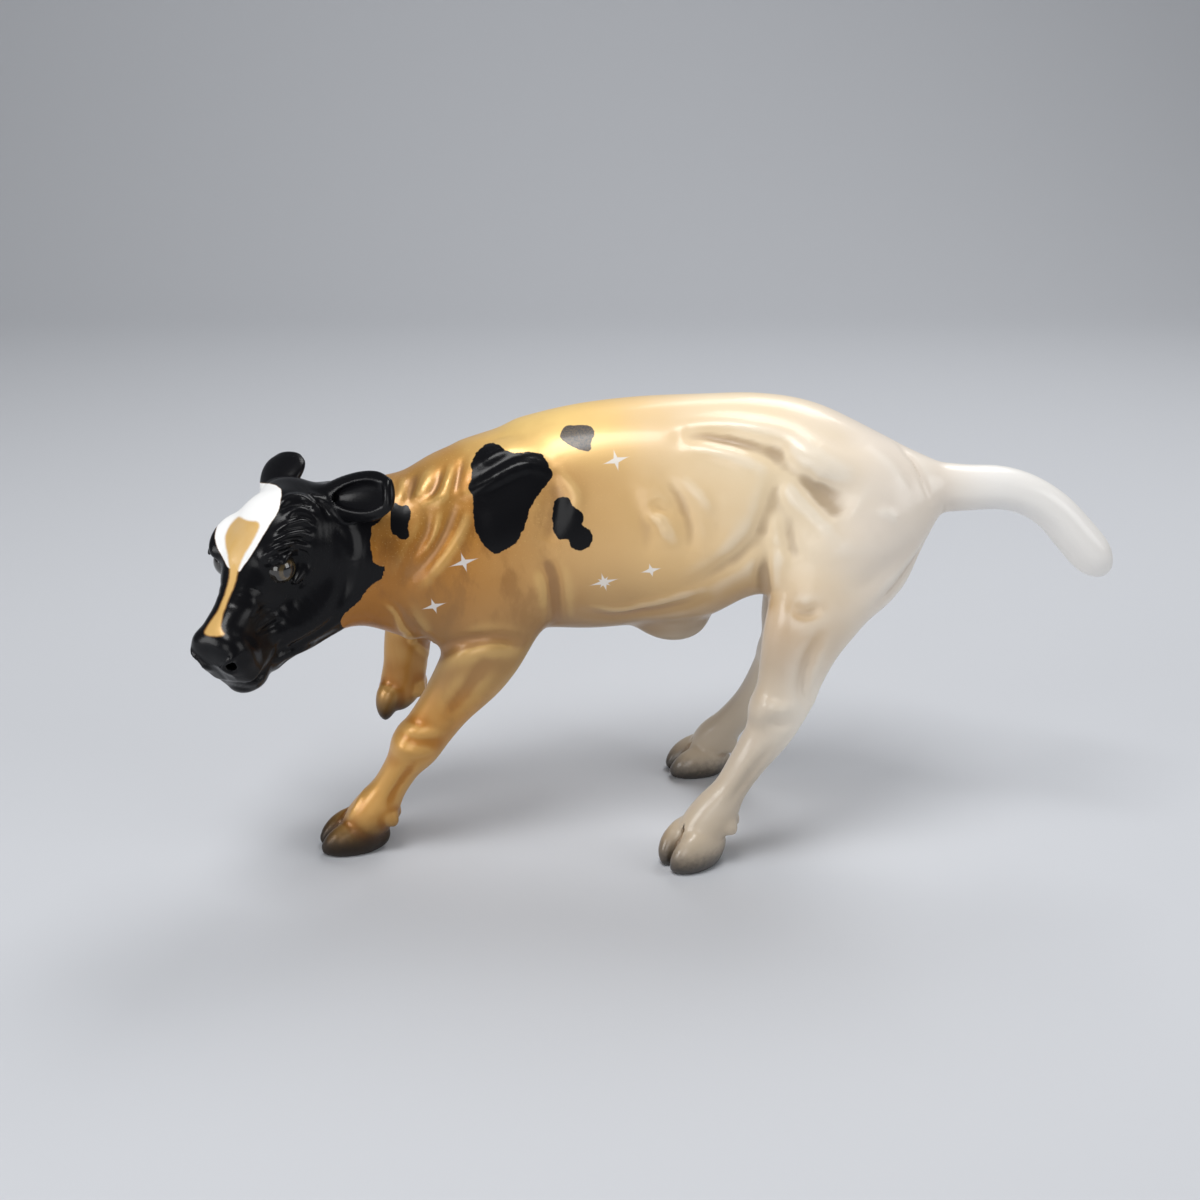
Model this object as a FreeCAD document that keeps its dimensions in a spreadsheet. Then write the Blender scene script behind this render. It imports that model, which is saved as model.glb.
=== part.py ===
import FreeCAD, Part
import math
import os

# A hollow moulded model calf that stands on three hooves, in millimetres.
# The floor is z = 0, the head looks towards -X and the calf's left side is at -Y.
# The origin lies on the floor below the middle of the whole model.

VECTOR = FreeCAD.Vector
UP = VECTOR(0, 0, 1)
BACK = VECTOR(1, 0, 0)

# Driving sizes, each with its note
SIZES = [
    ("wall", 2.0, "thickness of the moulded shells"),
    ("fit_clearance", 0.15, "gap round each glued peg, pin and collar"),
    ("overrun", 3.0, "how far a cutting shape runs past what it cuts"),
    ("parting_margin", 9.0, "how far the parting faces run past the shells"),
    ("neck_ahead", 62.1, "neck joint ahead of the origin"),
    ("trunk_length", 115.6, "neck joint to the end of the rump"),
    ("trunk_height", 72.4, "centre line of the barrel above the floor"),
    ("barrel_half_depth", 25.2, "half of the barrel's depth at its deepest"),
    ("barrel_half_width", 17.5, "half of the barrel's width at its widest"),
    ("midline_aside", 8.2, "barrel's midline to the right of the origin"),
    ("trunk_bow", 12.0, "how far the neck joint lies left of the barrel's midline"),
    ("neck_half_depth", 16.1, "half of the neck's depth at its joint"),
    ("neck_half_width", 12.0, "half of the neck's width at its joint"),
    ("neck_turn", 22.0, "degrees that the neck joint faces left of straight ahead"),
    ("neck_rise", 14.5, "degrees that the neck joint faces up"),
    ("collar_length", 5.0, "how far the head's collar goes into the neck"),
    ("fold_half_length", 8.0, "half of the navel fold's length under the belly"),
    ("fold_half_depth", 5.0, "half of the navel fold's depth"),
    ("fold_half_width", 4.5, "half of the navel fold's width"),
    ("boss_radius", 3.6, "radius of the bosses inside the shells"),
    ("pin_radius", 1.6, "radius of the locating pins"),
    ("pin_length", 4.0, "how far a pin enters the other half"),
    ("foreleg_half_depth", 8.4, "half of a foreleg's depth where it joins the trunk"),
    ("foreleg_half_width", 6.6, "half of a foreleg's width where it joins the trunk"),
    ("hindleg_half_depth", 7.8, "half of a hind leg's depth where it joins the trunk"),
    ("hindleg_half_width", 6.4, "half of a hind leg's width where it joins the trunk"),
    ("foreleg_left_step", 29.4, "left fore hoof ahead of its joint"),
    ("foreleg_left_splay", -4.0, "left fore hoof outside its joint"),
    ("foreleg_right_step", 25.8, "lifted fore hoof ahead of its joint"),
    ("foreleg_right_splay", 1.5, "lifted fore hoof outside its joint"),
    ("foreleg_right_drop", 29.3, "tip of the lifted hoof below its joint"),
    ("hindleg_left_step", 21.4, "left hind hoof ahead of its joint"),
    ("hindleg_left_splay", 1.4, "left hind hoof outside its joint"),
    ("hindleg_right_step", 20.5, "right hind hoof ahead of its joint"),
    ("hindleg_right_splay", 15.0, "right hind hoof outside its joint"),
    ("claw_gap", 0.9, "width of the cleft between two claws"),
    ("leg_peg_radius", 3.0, "radius of a leg's peg"),
    ("leg_peg_length", 7.0, "length of a leg's peg"),
    ("tail_reach", 38.0, "tail from the end of the rump to its tip"),
    ("tail_droop", 18.4, "tip of the tail below its root"),
    ("tail_half_thickness", 5.1, "half of the tail's thickness at its root"),
    ("tail_peg_radius", 2.4, "radius of the tail's peg"),
    ("tail_peg_length", 6.0, "length of the tail's peg"),
    ("poll_ahead", 14.9, "top of the head ahead of the neck joint"),
    ("poll_left", 4.0, "top of the head left of the neck joint"),
    ("poll_rise", 13.8, "top of the head above the neck joint"),
    ("head_turn", 70.0, "degrees that the face is turned to the left"),
    ("head_nod", 30.0, "degrees that the face points down"),
    ("head_length", 37.5, "top of the head to the end of the muzzle"),
    ("head_half_depth", 10.4, "half of the head's depth at the cheeks"),
    ("head_half_width", 9.6, "half of the head's width at the cheeks"),
    ("eye_radius", 2.8, "radius of an eye's bulge"),
    ("nostril_radius", 1.1, "radius of a nostril"),
    ("ear_length", 13.5, "ear from its base to its tip"),
    ("ear_half_width", 4.9, "half of an ear's width"),
    ("ear_half_thickness", 2.3, "half of an ear's thickness"),
    ("ear_peg_radius", 1.1, "radius of an ear's peg"),
    ("ear_peg_length", 3.0, "length of an ear's peg"),
]

doc = FreeCAD.newDocument("Calf")
sheet = doc.addObject("Spreadsheet::Sheet", "Sizes")
for row, (alias, value, note) in enumerate(SIZES, start=1):
    sheet.set(f"A{row}", alias)
    sheet.set(f"B{row}", str(value))
    sheet.set(f"C{row}", note)
    sheet.setAlias(f"B{row}", alias)
doc.recompute()

# Formulas in the sheet's sizes


def size(alias):
    """The sheet's value of one driving size."""
    return float(sheet.get(alias))


def amount(formula):
    """The value of a formula in the sheet's sizes."""
    return float(sheet.evalExpression(formula))


def share(alias, portion):
    """A formula for a share of one driving size."""
    return f"Sizes.{alias} * ({portion:.6f})"


def total(*terms):
    """A formula that adds up formulas."""
    return " + ".join(f"({term})" for term in terms)


def place(formulas):
    """The point that three formulas give."""
    return VECTOR(*[amount(formula) for formula in formulas])


def moved(start, direction, distance):
    """The formulas of a place moved along a direction by a formula's distance."""
    steps = (direction.x, direction.y, direction.z)
    return [total(at, f"({distance}) * ({step:.6f})") for at, step in zip(start, steps)]


def bind(item, **formulas):
    """Bind an object's sizes to formulas."""
    for name, formula in formulas.items():
        item.setExpression(name, formula)
    return item


def bind_place(item, formulas, rotation):
    """Turn an object and bind its position to formulas."""
    item.Placement = FreeCAD.Placement(place(formulas), rotation)
    for axis, formula in zip("xyz", formulas):
        item.setExpression(f"Placement.Base.{axis}", formula)
    return item


def facing(normal, long_way):
    """A rotation that lays local Z on a normal and local X near the long way."""
    return FreeCAD.Rotation(long_way, VECTOR(), normal, "ZXY")


# Solids


def section(name, centre, tall, wide, normal, upright):
    """An elliptical section, with its half height near the upright direction."""
    lies_across = amount(wide) > amount(tall)
    long_way = upright.cross(normal) if lies_across else upright
    ellipse = doc.addObject("Part::Ellipse", name)
    bind_place(ellipse, centre, facing(normal, long_way))
    if lies_across:
        return bind(ellipse, MajorRadius=wide, MinorRadius=tall)
    return bind(ellipse, MajorRadius=tall, MinorRadius=wide)


def path_normals(centres):
    """The direction of a path at each of its places."""
    points = [place(centre) for centre in centres]
    normals = []
    for index in range(len(points)):
        before = points[max(index - 1, 0)]
        after = points[min(index + 1, len(points) - 1)]
        normals.append((after - before).normalize())
    return normals


def sections_along(name, stations, upright, first=None, before_last=None, last=None):
    """A section at each station, which holds its centre, half height and half width."""
    normals = path_normals([station[0] for station in stations])
    normals[0] = first or normals[0]
    normals[-2] = before_last.normalize() if before_last else normals[-2]
    normals[-1] = last or normals[-1]
    made = []
    for index, (centre, tall, wide) in enumerate(stations):
        normal = normals[index]
        upright = (upright - normal * upright.dot(normal)).normalize()
        made.append(section(f"{name}_section_{index}", centre, tall, wide, normal, upright))
    return made


def loft(name, sections):
    """A smooth closed solid through sections."""
    solid = doc.addObject("Part::Loft", name)
    solid.Sections = sections
    solid.Solid = True
    return solid


def ellipsoid(name, centre, rotation, along_x, along_y, along_z):
    """A solid ellipsoid, with its half sizes along its own axes."""
    ball = doc.addObject("Part::Ellipsoid", name)
    bind_place(ball, centre, rotation)
    return bind(ball, Radius2=along_x, Radius3=along_y, Radius1=along_z)


def cylinder(name, start, direction, radius, length):
    """A round bar from a place along a direction."""
    across = BACK if abs(direction.x) < abs(direction.z) else UP
    bar = doc.addObject("Part::Cylinder", name)
    bind_place(bar, start, facing(direction, across))
    return bind(bar, Radius=radius, Height=length)


def fuse(name, shapes):
    """Several solids as one."""
    joined = doc.addObject("Part::MultiFuse", name)
    joined.Shapes = shapes
    return joined


def cut(name, base, tools):
    """A solid with one or more tools taken away."""
    remains = doc.addObject("Part::Cut", name)
    remains.Base = base
    remains.Tool = tools[0] if len(tools) == 1 else fuse(f"{name}_tools", tools)
    return remains


def common(name, first, second):
    """What two solids share."""
    shared = doc.addObject("Part::MultiCommon", name)
    shared.Shapes = [first, second]
    return shared


def peg_and_socket(name, joint, inward, radius, length):
    """A peg that runs inward from a joint, and the clear hole that it is glued in."""
    root = moved(joint, inward, "-Sizes.overrun")
    peg = cylinder(f"{name}_peg", root, inward, radius, total(length, "Sizes.overrun"))
    socket = cylinder(f"{name}_socket", root, inward, total(radius, "Sizes.fit_clearance"),
                      total(length, "Sizes.overrun", "Sizes.fit_clearance"))
    return peg, socket


# Trunk: an elliptical barrel from the neck joint to the rump

# Shares of the trunk's length and of its bow, the rise of the centre and the half height
# as shares of the barrel's half depth, and the share of its half width
TRUNK_SHARES = [
    (0.095, 0.70, -0.210, 0.710, 0.80),
    (0.200, 0.35, -0.150, 0.860, 0.93),
    (0.325, 0.12, -0.070, 0.935, 0.97),
    (0.455, 0.00, -0.030, 0.970, 0.98),
    (0.585, 0.00, 0.000, 0.990, 1.00),
    (0.690, 0.04, 0.100, 0.890, 0.94),
    (0.795, 0.12, 0.090, 0.815, 0.92),
    (0.900, 0.30, 0.000, 0.700, 0.84),
    (0.962, 0.42, 0.050, 0.560, 0.66),
    (1.000, 0.50, 0.110, 0.380, 0.44),
]
NECK_JOINT_SHARES = (0.0, 1.0, -0.155)


def trunk_place(along_share, bow_share, rise_share):
    """A place on the trunk's bent midline, raised by a share of the barrel's half depth."""
    return [
        total("-Sizes.neck_ahead", share("trunk_length", along_share)),
        total("Sizes.midline_aside", share("trunk_bow", -bow_share)),
        total("Sizes.trunk_height", share("barrel_half_depth", rise_share)),
    ]


neck_joint = trunk_place(*NECK_JOINT_SHARES)
neck_turn = math.radians(size("neck_turn"))
neck_rise = math.radians(size("neck_rise"))
neck_forward = VECTOR(-math.cos(neck_turn) * math.cos(neck_rise),
                      -math.sin(neck_turn) * math.cos(neck_rise),
                      math.sin(neck_rise))


def neck_station(inset):
    """The section at the neck joint, drawn in by a formula."""
    return neck_joint, total("Sizes.neck_half_depth", inset), total("Sizes.neck_half_width", inset)


def trunk_sections(name, inset, rows):
    """The trunk's sections from the neck joint on, drawn in by a formula."""
    stations = [neck_station(inset)]
    for along, bow, rise, tall, wide in rows:
        stations.append((trunk_place(along, bow, rise),
                         total(share("barrel_half_depth", tall), inset),
                         total(share("barrel_half_width", wide), inset)))
    return sections_along(name, stations, UP, first=-neck_forward, last=BACK)


# The cavity stops ahead of the rump, which stays solid round the tail's peg
TRUNK_CAVITY_ROWS = slice(0, 8)
barrel = loft("barrel", trunk_sections("barrel", "0", TRUNK_SHARES))
trunk_cavity = loft("trunk_cavity", trunk_sections("trunk_cavity", "-Sizes.wall",
                                                   TRUNK_SHARES[TRUNK_CAVITY_ROWS]))

FOLD_SHARES = (0.545, 0.0, -0.920)
navel_fold = ellipsoid("navel_fold", trunk_place(*FOLD_SHARES), FreeCAD.Rotation(),
                       "Sizes.fold_half_length", "Sizes.fold_half_width", "Sizes.fold_half_depth")

# Limbs: a muscle inside the trunk's skin above the joint, and the leg below it

# Muscle rows: behind the joint as a share of the leg's half depth, outside it as a share of its
# half width, above it as a share of the barrel's half depth, then shares of half depth and width
# Leg rows: shares of the step, the splay and the drop, then of the half depth and half width
# Coronet, where a standing hoof begins: its height is a share of the leg's half depth instead
LIMBS = {
    "foreleg_left": {
        "side": -1,
        "thickness": "foreleg",
        "joint_shares": (0.187, -0.857, -1.100),
        "muscle_shares": [
            (1.20, -0.40, 1.36, 1.00, 0.60),
            (0.95, -0.15, 0.93, 1.66, 1.02),
            (0.53, 0.00, 0.45, 1.33, 1.09),
        ],
        "leg_shares": [
            (0.207, 0.12, 0.200, 0.70, 0.80),
            (0.450, 0.28, 0.390, 0.63, 0.74),
            (0.700, 0.40, 0.655, 0.46, 0.53),
            (0.850, 0.57, 0.815, 0.61, 0.69),
            (1.000, 1.00, 1.000, 0.86, 0.85),
        ],
        "coronet_shares": (0.955, 0.90, 0.3936, 0.72, 0.77),
        "coronet_way": VECTOR(-0.463, 0.181, -0.868),
    },
    "foreleg_right": {
        "side": 1,
        "thickness": "foreleg",
        "joint_shares": (0.213, 0.457, -0.889),
        "muscle_shares": [
            (0.71, -0.38, 1.11, 0.95, 0.70),
            (0.71, -0.08, 0.71, 1.60, 1.05),
            (0.48, 0.00, 0.32, 1.25, 1.05),
        ],
        "leg_shares": [
            (0.300, 0.20, 0.090, 0.72, 0.82),
            (0.660, 0.70, 0.110, 0.62, 0.74),
            (0.814, 0.95, 0.307, 0.58, 0.66),
            (0.850, 1.00, 0.570, 0.47, 0.55),
            (0.880, 1.00, 0.790, 0.58, 0.66),
            (1.000, 1.00, 1.000, 0.38, 0.44),
        ],
    },
    "hindleg_left": {
        "side": -1,
        "thickness": "hindleg",
        "joint_shares": (0.760, -0.960, -0.968),
        "muscle_shares": [
            (1.15, -1.06, 1.25, 1.40, 1.10),
            (0.92, -0.67, 0.87, 1.90, 1.33),
            (0.46, -0.20, 0.45, 1.36, 1.16),
        ],
        "leg_shares": [
            (0.090, 0.14, 0.115, 0.86, 0.89),
            (0.190, 0.45, 0.280, 0.72, 0.75),
            (0.320, 0.60, 0.417, 0.62, 0.66),
            (0.580, 0.86, 0.590, 0.49, 0.55),
            (0.840, 0.88, 0.785, 0.65, 0.73),
            (1.000, 1.00, 1.000, 0.85, 0.86),
        ],
        "coronet_shares": (0.960, 0.99, 0.4308, 0.74, 0.80),
        "coronet_way": VECTOR(-0.315, -0.015, -0.949),
    },
    "hindleg_right": {
        "side": 1,
        "thickness": "hindleg",
        "joint_shares": (0.784, 0.457, -0.889),
        "muscle_shares": [
            (0.95, -0.86, 1.17, 1.40, 1.10),
            (0.72, -0.47, 0.79, 1.90, 1.33),
            (0.40, -0.23, 0.40, 1.38, 1.16),
        ],
        "leg_shares": [
            (0.060, 0.13, 0.140, 0.86, 0.89),
            (0.110, 0.28, 0.290, 0.72, 0.75),
            (0.260, 0.43, 0.420, 0.62, 0.66),
            (0.580, 0.76, 0.680, 0.49, 0.55),
            (0.840, 0.93, 0.815, 0.65, 0.73),
            (1.000, 1.00, 1.000, 0.85, 0.86),
        ],
        "coronet_shares": (0.960, 0.99, 0.4359, 0.74, 0.80),
        "coronet_way": VECTOR(-0.332, 0.106, -0.937),
    },
}


def limb_joint(joint_shares):
    """Where a leg joins the trunk, from the barrel's midline and its half sizes."""
    along, outside, rise = joint_shares
    joint = trunk_place(along, 0.0, rise)
    return [joint[0], total(joint[1], share("barrel_half_width", outside)), joint[2]]


def muscle_station(limb, joint, row):
    """A section of the muscle above a joint."""
    behind, outside, above, tall, wide = row
    half_depth = f"{limb['thickness']}_half_depth"
    half_width = f"{limb['thickness']}_half_width"
    centre = [total(joint[0], share(half_depth, behind)),
              total(joint[1], share(half_width, outside * limb["side"])),
              total(joint[2], share("barrel_half_depth", above))]
    return centre, share(half_depth, tall), share(half_width, wide)


def leg_station(name, limb, joint, row, height):
    """A section of the leg below a joint, at a height."""
    step, splay, _, tall, wide = row
    centre = [total(joint[0], share(f"{name}_step", -step)),
              total(joint[1], share(f"{name}_splay", splay * limb["side"])),
              height]
    half_depth = f"{limb['thickness']}_half_depth"
    half_width = f"{limb['thickness']}_half_width"
    return centre, share(half_depth, tall), share(half_width, wide)


CLEFT_START_SHARE = 0.25
CLEFT_HEIGHT_SHARE = 0.70


def cleft(name, sole, upward, half_depth):
    """A thin blade that parts the two claws of a hoof from its toe."""
    ahead = (-BACK + upward * BACK.dot(upward)).normalize()
    across = upward.cross(ahead)
    corner = moved(moved(moved(sole, ahead, f"({half_depth}) * {CLEFT_START_SHARE}"),
                         across, share("claw_gap", -0.5)), upward, "-Sizes.overrun")
    blade = doc.addObject("Part::Box", f"{name}_cleft")
    bind_place(blade, corner, FreeCAD.Rotation(ahead, across, upward, "XZY"))
    return bind(blade, Length=half_depth, Width="Sizes.claw_gap",
                Height=total(f"({half_depth}) * {CLEFT_HEIGHT_SHARE}", "Sizes.overrun"))


muscles = []
sockets = []
legs = {}
for name, limb in LIMBS.items():
    joint = limb_joint(limb["joint_shares"])
    drop = "Sizes.foreleg_right_drop" if name == "foreleg_right" else joint[2]
    rows = [muscle_station(limb, joint, row) for row in limb["muscle_shares"]]
    rows.append((joint, f"Sizes.{limb['thickness']}_half_depth", f"Sizes.{limb['thickness']}_half_width"))
    for row in limb["leg_shares"]:
        rows.append(leg_station(name, limb, joint, row, total(joint[2], f"({drop}) * ({-row[2]})")))
    if "coronet_shares" in limb:
        row = limb["coronet_shares"]
        height = share(f"{limb['thickness']}_half_depth", row[2])
        rows.insert(-1, leg_station(name, limb, joint, row, height))
    path = path_normals([row[0] for row in rows])
    upward = -path[-1] if name == "foreleg_right" else UP
    sections = sections_along(name, rows, BACK, before_last=limb.get("coronet_way"), last=-upward)
    joint_index = len(limb["muscle_shares"])
    muscles.append(loft(f"{name}_muscle", sections[:joint_index + 1]))
    peg, socket = peg_and_socket(name, joint, -path[joint_index], "Sizes.leg_peg_radius",
                                 "Sizes.leg_peg_length")
    sockets.append(socket)
    sole, sole_half_depth, _ = rows[-1]
    blade = cleft(name, sole, upward, sole_half_depth)
    shank = loft(f"{name}_shank", sections[joint_index:-1])
    hoof = loft(f"{name}_hoof", sections[-2:])
    hoof.Ruled = True
    legs[name] = (shank, hoof, peg, blade)

# Tail: from inside the rump, out and down to a round tip

# Shares of the reach, the droop and the half thickness
TAIL_ROOT_SHARES = (1.000, 0.48, 0.283)
TAIL_SHARES = [
    (0.000, 0.000, 1.00),
    (0.180, 0.020, 0.92),
    (0.350, 0.015, 0.88),
    (0.480, 0.080, 0.84),
    (0.600, 0.220, 0.84),
    (0.730, 0.480, 0.90),
    (0.850, 0.760, 0.92),
    (0.940, 0.940, 0.72),
    (0.975, 1.010, 0.35),
]
tail_root = trunk_place(*TAIL_ROOT_SHARES)
tail_rows = []
for reach, droop, thick in TAIL_SHARES:
    centre = [total(tail_root[0], share("tail_reach", reach)), tail_root[1],
              total(tail_root[2], share("tail_droop", -droop))]
    tail_rows.append((centre, share("tail_half_thickness", thick), share("tail_half_thickness", thick)))
tail_rod = loft("tail_rod", sections_along("tail", tail_rows, UP, first=BACK))
tail_peg, tail_socket = peg_and_socket("tail", tail_root, -BACK, "Sizes.tail_peg_radius",
                                       "Sizes.tail_peg_length")

# Head: in its own directions, forward along the face, left and up

head_turn = math.radians(size("head_turn"))
head_nod = math.radians(size("head_nod"))
FORWARD = VECTOR(-math.cos(head_turn) * math.cos(head_nod),
                 -math.sin(head_turn) * math.cos(head_nod),
                 -math.sin(head_nod))
LEFT = VECTOR(math.sin(head_turn), -math.cos(head_turn), 0)
CROWN = FORWARD.cross(LEFT)
poll = [total(neck_joint[0], "-Sizes.poll_ahead"),
        total(neck_joint[1], "-Sizes.poll_left"),
        total(neck_joint[2], "Sizes.poll_rise")]

# Shares of the head's length, of its half depth below the crown, then of half depth and half width
FACE_SHARES = [
    (-0.050, -0.78, 0.62, 0.58),
    (0.020, -0.90, 1.06, 0.92),
    (0.180, -1.00, 1.20, 1.06),
    (0.380, -1.12, 1.27, 1.02),
    (0.580, -1.06, 1.05, 0.82),
    (0.780, -0.98, 0.80, 0.70),
    (0.910, -0.90, 0.69, 0.71),
    (0.970, -0.90, 0.56, 0.60),
    (1.000, -0.90, 0.30, 0.34),
]
# Shares of the way from the neck joint to the skull's middle, and of the neck's half sizes
NAPE_SHARES = [
    (0.45, 0.90, 0.90),
    (0.85, 0.74, 0.78),
    (1.05, 0.52, 0.55),
]
# Along the head, left, above its crown, half depth and half width, in shares of the head's sizes
THROAT_SHARES = [
    (0.20, 0.60, -1.96, 0.78, 0.90),
    (0.62, 0.08, -1.62, 0.42, 0.50),
]
THROAT_ROOT_SHARES = (0.36, 0.60, 0.86)
SKULL_SHARES = (0.12, -0.95)


def head_place(along_share, left_share, rise_share):
    """A place on the head, from the poll, in shares of its length, half width and half depth."""
    start = moved(poll, FORWARD, share("head_length", along_share))
    start = moved(start, LEFT, share("head_half_width", left_share))
    return moved(start, CROWN, share("head_half_depth", rise_share))


def face_sections(name, inset, rows):
    """The face's sections from the back of the skull to the muzzle, drawn in by a formula."""
    stations = [(head_place(along, 0.0, rise),
                 total(share("head_half_depth", tall), inset),
                 total(share("head_half_width", wide), inset)) for along, rise, tall, wide in rows]
    return sections_along(name, stations, CROWN)


skull = head_place(SKULL_SHARES[0], 0.0, SKULL_SHARES[1])


def nape_sections(name, inset, rows):
    """The upper neck's sections from its joint into the skull, drawn in by a formula."""
    stations = [neck_station(inset)]
    for along, tall, wide in rows:
        centre = [total(f"({start}) * ({1 - along:.6f})", f"({end}) * ({along:.6f})")
                  for start, end in zip(neck_joint, skull)]
        stations.append((centre, total(share("neck_half_depth", tall), inset),
                         total(share("neck_half_width", wide), inset)))
    return sections_along(name, stations, UP, first=neck_forward)


def throat_sections(name):
    """The throat's sections, from the lower half of the neck joint to the jaw."""
    lowered, tall, wide = THROAT_ROOT_SHARES
    neck_down = (neck_forward * neck_forward.z - UP).normalize()
    stations = [(moved(neck_joint, neck_down, share("neck_half_depth", lowered)),
                 share("neck_half_depth", tall), share("neck_half_width", wide))]
    for along, left, rise, tall, wide in THROAT_SHARES:
        stations.append((head_place(along, left, rise), share("head_half_depth", tall),
                         share("head_half_width", wide)))
    return sections_along(name, stations, UP, first=neck_forward)


COLLAR_INSET = "-2 * Sizes.wall - Sizes.fit_clearance"
FACE_CAVITY_ROWS = slice(1, 6)
NAPE_CAVITY_ROWS = slice(0, 2)
face = loft("face", face_sections("face", "0", FACE_SHARES))
throat = loft("throat", throat_sections("throat"))
nape = loft("nape", nape_sections("nape", "0", NAPE_SHARES))
face_cavity = loft("face_cavity", face_sections("face_cavity", "-Sizes.wall", FACE_SHARES[FACE_CAVITY_ROWS]))
nape_cavity = loft("nape_cavity", nape_sections("nape_cavity", COLLAR_INSET, NAPE_SHARES[NAPE_CAVITY_ROWS]))
HEAD_ROTATION = FreeCAD.Rotation(FORWARD, LEFT, CROWN, "XZY")
EYE_SHARES = (0.390, 0.700, -0.560)
NOSTRIL_SHARES = (0.965, 0.330, -0.640)
NOSTRIL_LENGTH_SHARE = 1.5
eyes = []
nostrils = []
for word, side in (("left", 1), ("right", -1)):
    eyes.append(ellipsoid(f"eye_bulge_{word}", head_place(EYE_SHARES[0], side * EYE_SHARES[1], EYE_SHARES[2]),
                          HEAD_ROTATION, "Sizes.eye_radius", "Sizes.eye_radius", "Sizes.eye_radius"))
    nostrils.append(ellipsoid(f"nostril_{word}",
                              head_place(NOSTRIL_SHARES[0], side * NOSTRIL_SHARES[1], NOSTRIL_SHARES[2]),
                              HEAD_ROTATION, share("nostril_radius", NOSTRIL_LENGTH_SHARE),
                              "Sizes.nostril_radius", "Sizes.nostril_radius"))

# Collar: the head's spigot, which is glued inside the neck's opening


def straight_tube(name, inset, ahead, behind):
    """A straight elliptical bar through the neck joint, drawn in by a formula."""
    stations = [(moved(neck_joint, neck_forward, distance), total("Sizes.neck_half_depth", inset),
                 total("Sizes.neck_half_width", inset)) for distance in (ahead, behind)]
    return loft(name, sections_along(name, stations, UP, first=-neck_forward, last=-neck_forward))


COLLAR_LAP_SHARE = 0.5
collar = straight_tube("collar", "-Sizes.wall - Sizes.fit_clearance", share("wall", COLLAR_LAP_SHARE),
                       "-Sizes.collar_length")
collar_bore = straight_tube("collar_bore", COLLAR_INSET, "0",
                            "-Sizes.collar_length - Sizes.overrun")

# Ears: hollowed paddles that lean back, each with a peg in the skull

# Shares of the ear's length, half width and half thickness
EAR_SHARES = [
    (-0.15, 0.55, 0.90),
    (0.10, 0.70, 1.00),
    (0.40, 1.00, 1.00),
    (0.70, 0.98, 0.80),
    (0.90, 0.72, 0.55),
    (1.00, 0.35, 0.25),
]
LEFT_EAR_BASE_SHARES = (-0.02, 0.72, -0.20)
RIGHT_EAR_BASE_SHARES = (-0.02, -0.46, -0.20)
# The way of each ear along the face, outwards and up
LEFT_EAR_SHARES = (-0.16, 0.96, 0.12)
RIGHT_EAR_SHARES = (-0.90, 0.15, -0.20)
CUP_SHARES = (0.60, 1.00)
CUP_SIZE_SHARES = (0.36, 0.62, 0.90)


def ear(word, side, base_shares, way_shares, spread):
    """One ear before it is trimmed to the skull, with its peg and socket."""
    base = head_place(*base_shares)
    back_share, out_share, up_share = way_shares
    way = (FORWARD * back_share + LEFT * (out_share * side) + CROWN * up_share).normalize()
    front = (FORWARD - way * FORWARD.dot(way)).normalize()
    stations = [(moved(base, way, share("ear_length", along)), share("ear_half_width", wide),
                 share("ear_half_thickness", thick)) for along, wide, thick in EAR_SHARES]
    paddle = loft(f"ear_{word}_paddle", sections_along(f"ear_{word}", stations, spread))
    middle = moved(moved(base, way, share("ear_length", CUP_SHARES[0])), front,
                   share("ear_half_thickness", CUP_SHARES[1]))
    cup = ellipsoid(f"ear_{word}_cup", middle, FreeCAD.Rotation(way, VECTOR(), front, "ZXY"),
                    share("ear_length", CUP_SIZE_SHARES[0]), share("ear_half_width", CUP_SIZE_SHARES[1]),
                    share("ear_half_thickness", CUP_SIZE_SHARES[2]))
    peg, socket = peg_and_socket(f"ear_{word}", base, -way, "Sizes.ear_peg_radius", "Sizes.ear_peg_length")
    return cut(f"ear_{word}_cupped", paddle, [cup]), peg, socket


ears = {"left": ear("left", 1, LEFT_EAR_BASE_SHARES, LEFT_EAR_SHARES, CROWN),
        "right": ear("right", -1, RIGHT_EAR_BASE_SHARES, RIGHT_EAR_SHARES, LEFT)}

# Parting: the shells are parted by upright faces that follow the midline seen from above

# Shares of the trunk's length and bow where the trunk's seam bends
SEAM_SHARES = [(0.200, 0.35), (0.455, 0.00), (0.690, 0.04), (1.000, 0.50)]
BOSS_RISE_SHARES = (0.15, 0.30, 0.40)
# How far the blocks reach, as shares of the trunk's height, the barrel's half width and the collar
BLOCK_HEIGHT_SHARE = 2.0
BLOCK_REACH_SHARE = 4.0
COLLAR_BLOCK_SHARE = 4.0
BOSS_REACH_SHARE = 2.0
ASIDE = VECTOR(0, 1, 0)


def left_block(name, outline):
    """An upright block over an outline seen from above, higher than the trunk."""
    corners = [VECTOR(amount(corner[0]), amount(corner[1]), 0) for corner in outline]
    rim = Part.makePolygon(corners + corners[:1])
    block = doc.addObject("Part::Feature", name)
    block.Shape = Part.Face(rim).extrude(UP * (BLOCK_HEIGHT_SHARE * size("trunk_height")))
    return block


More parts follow.
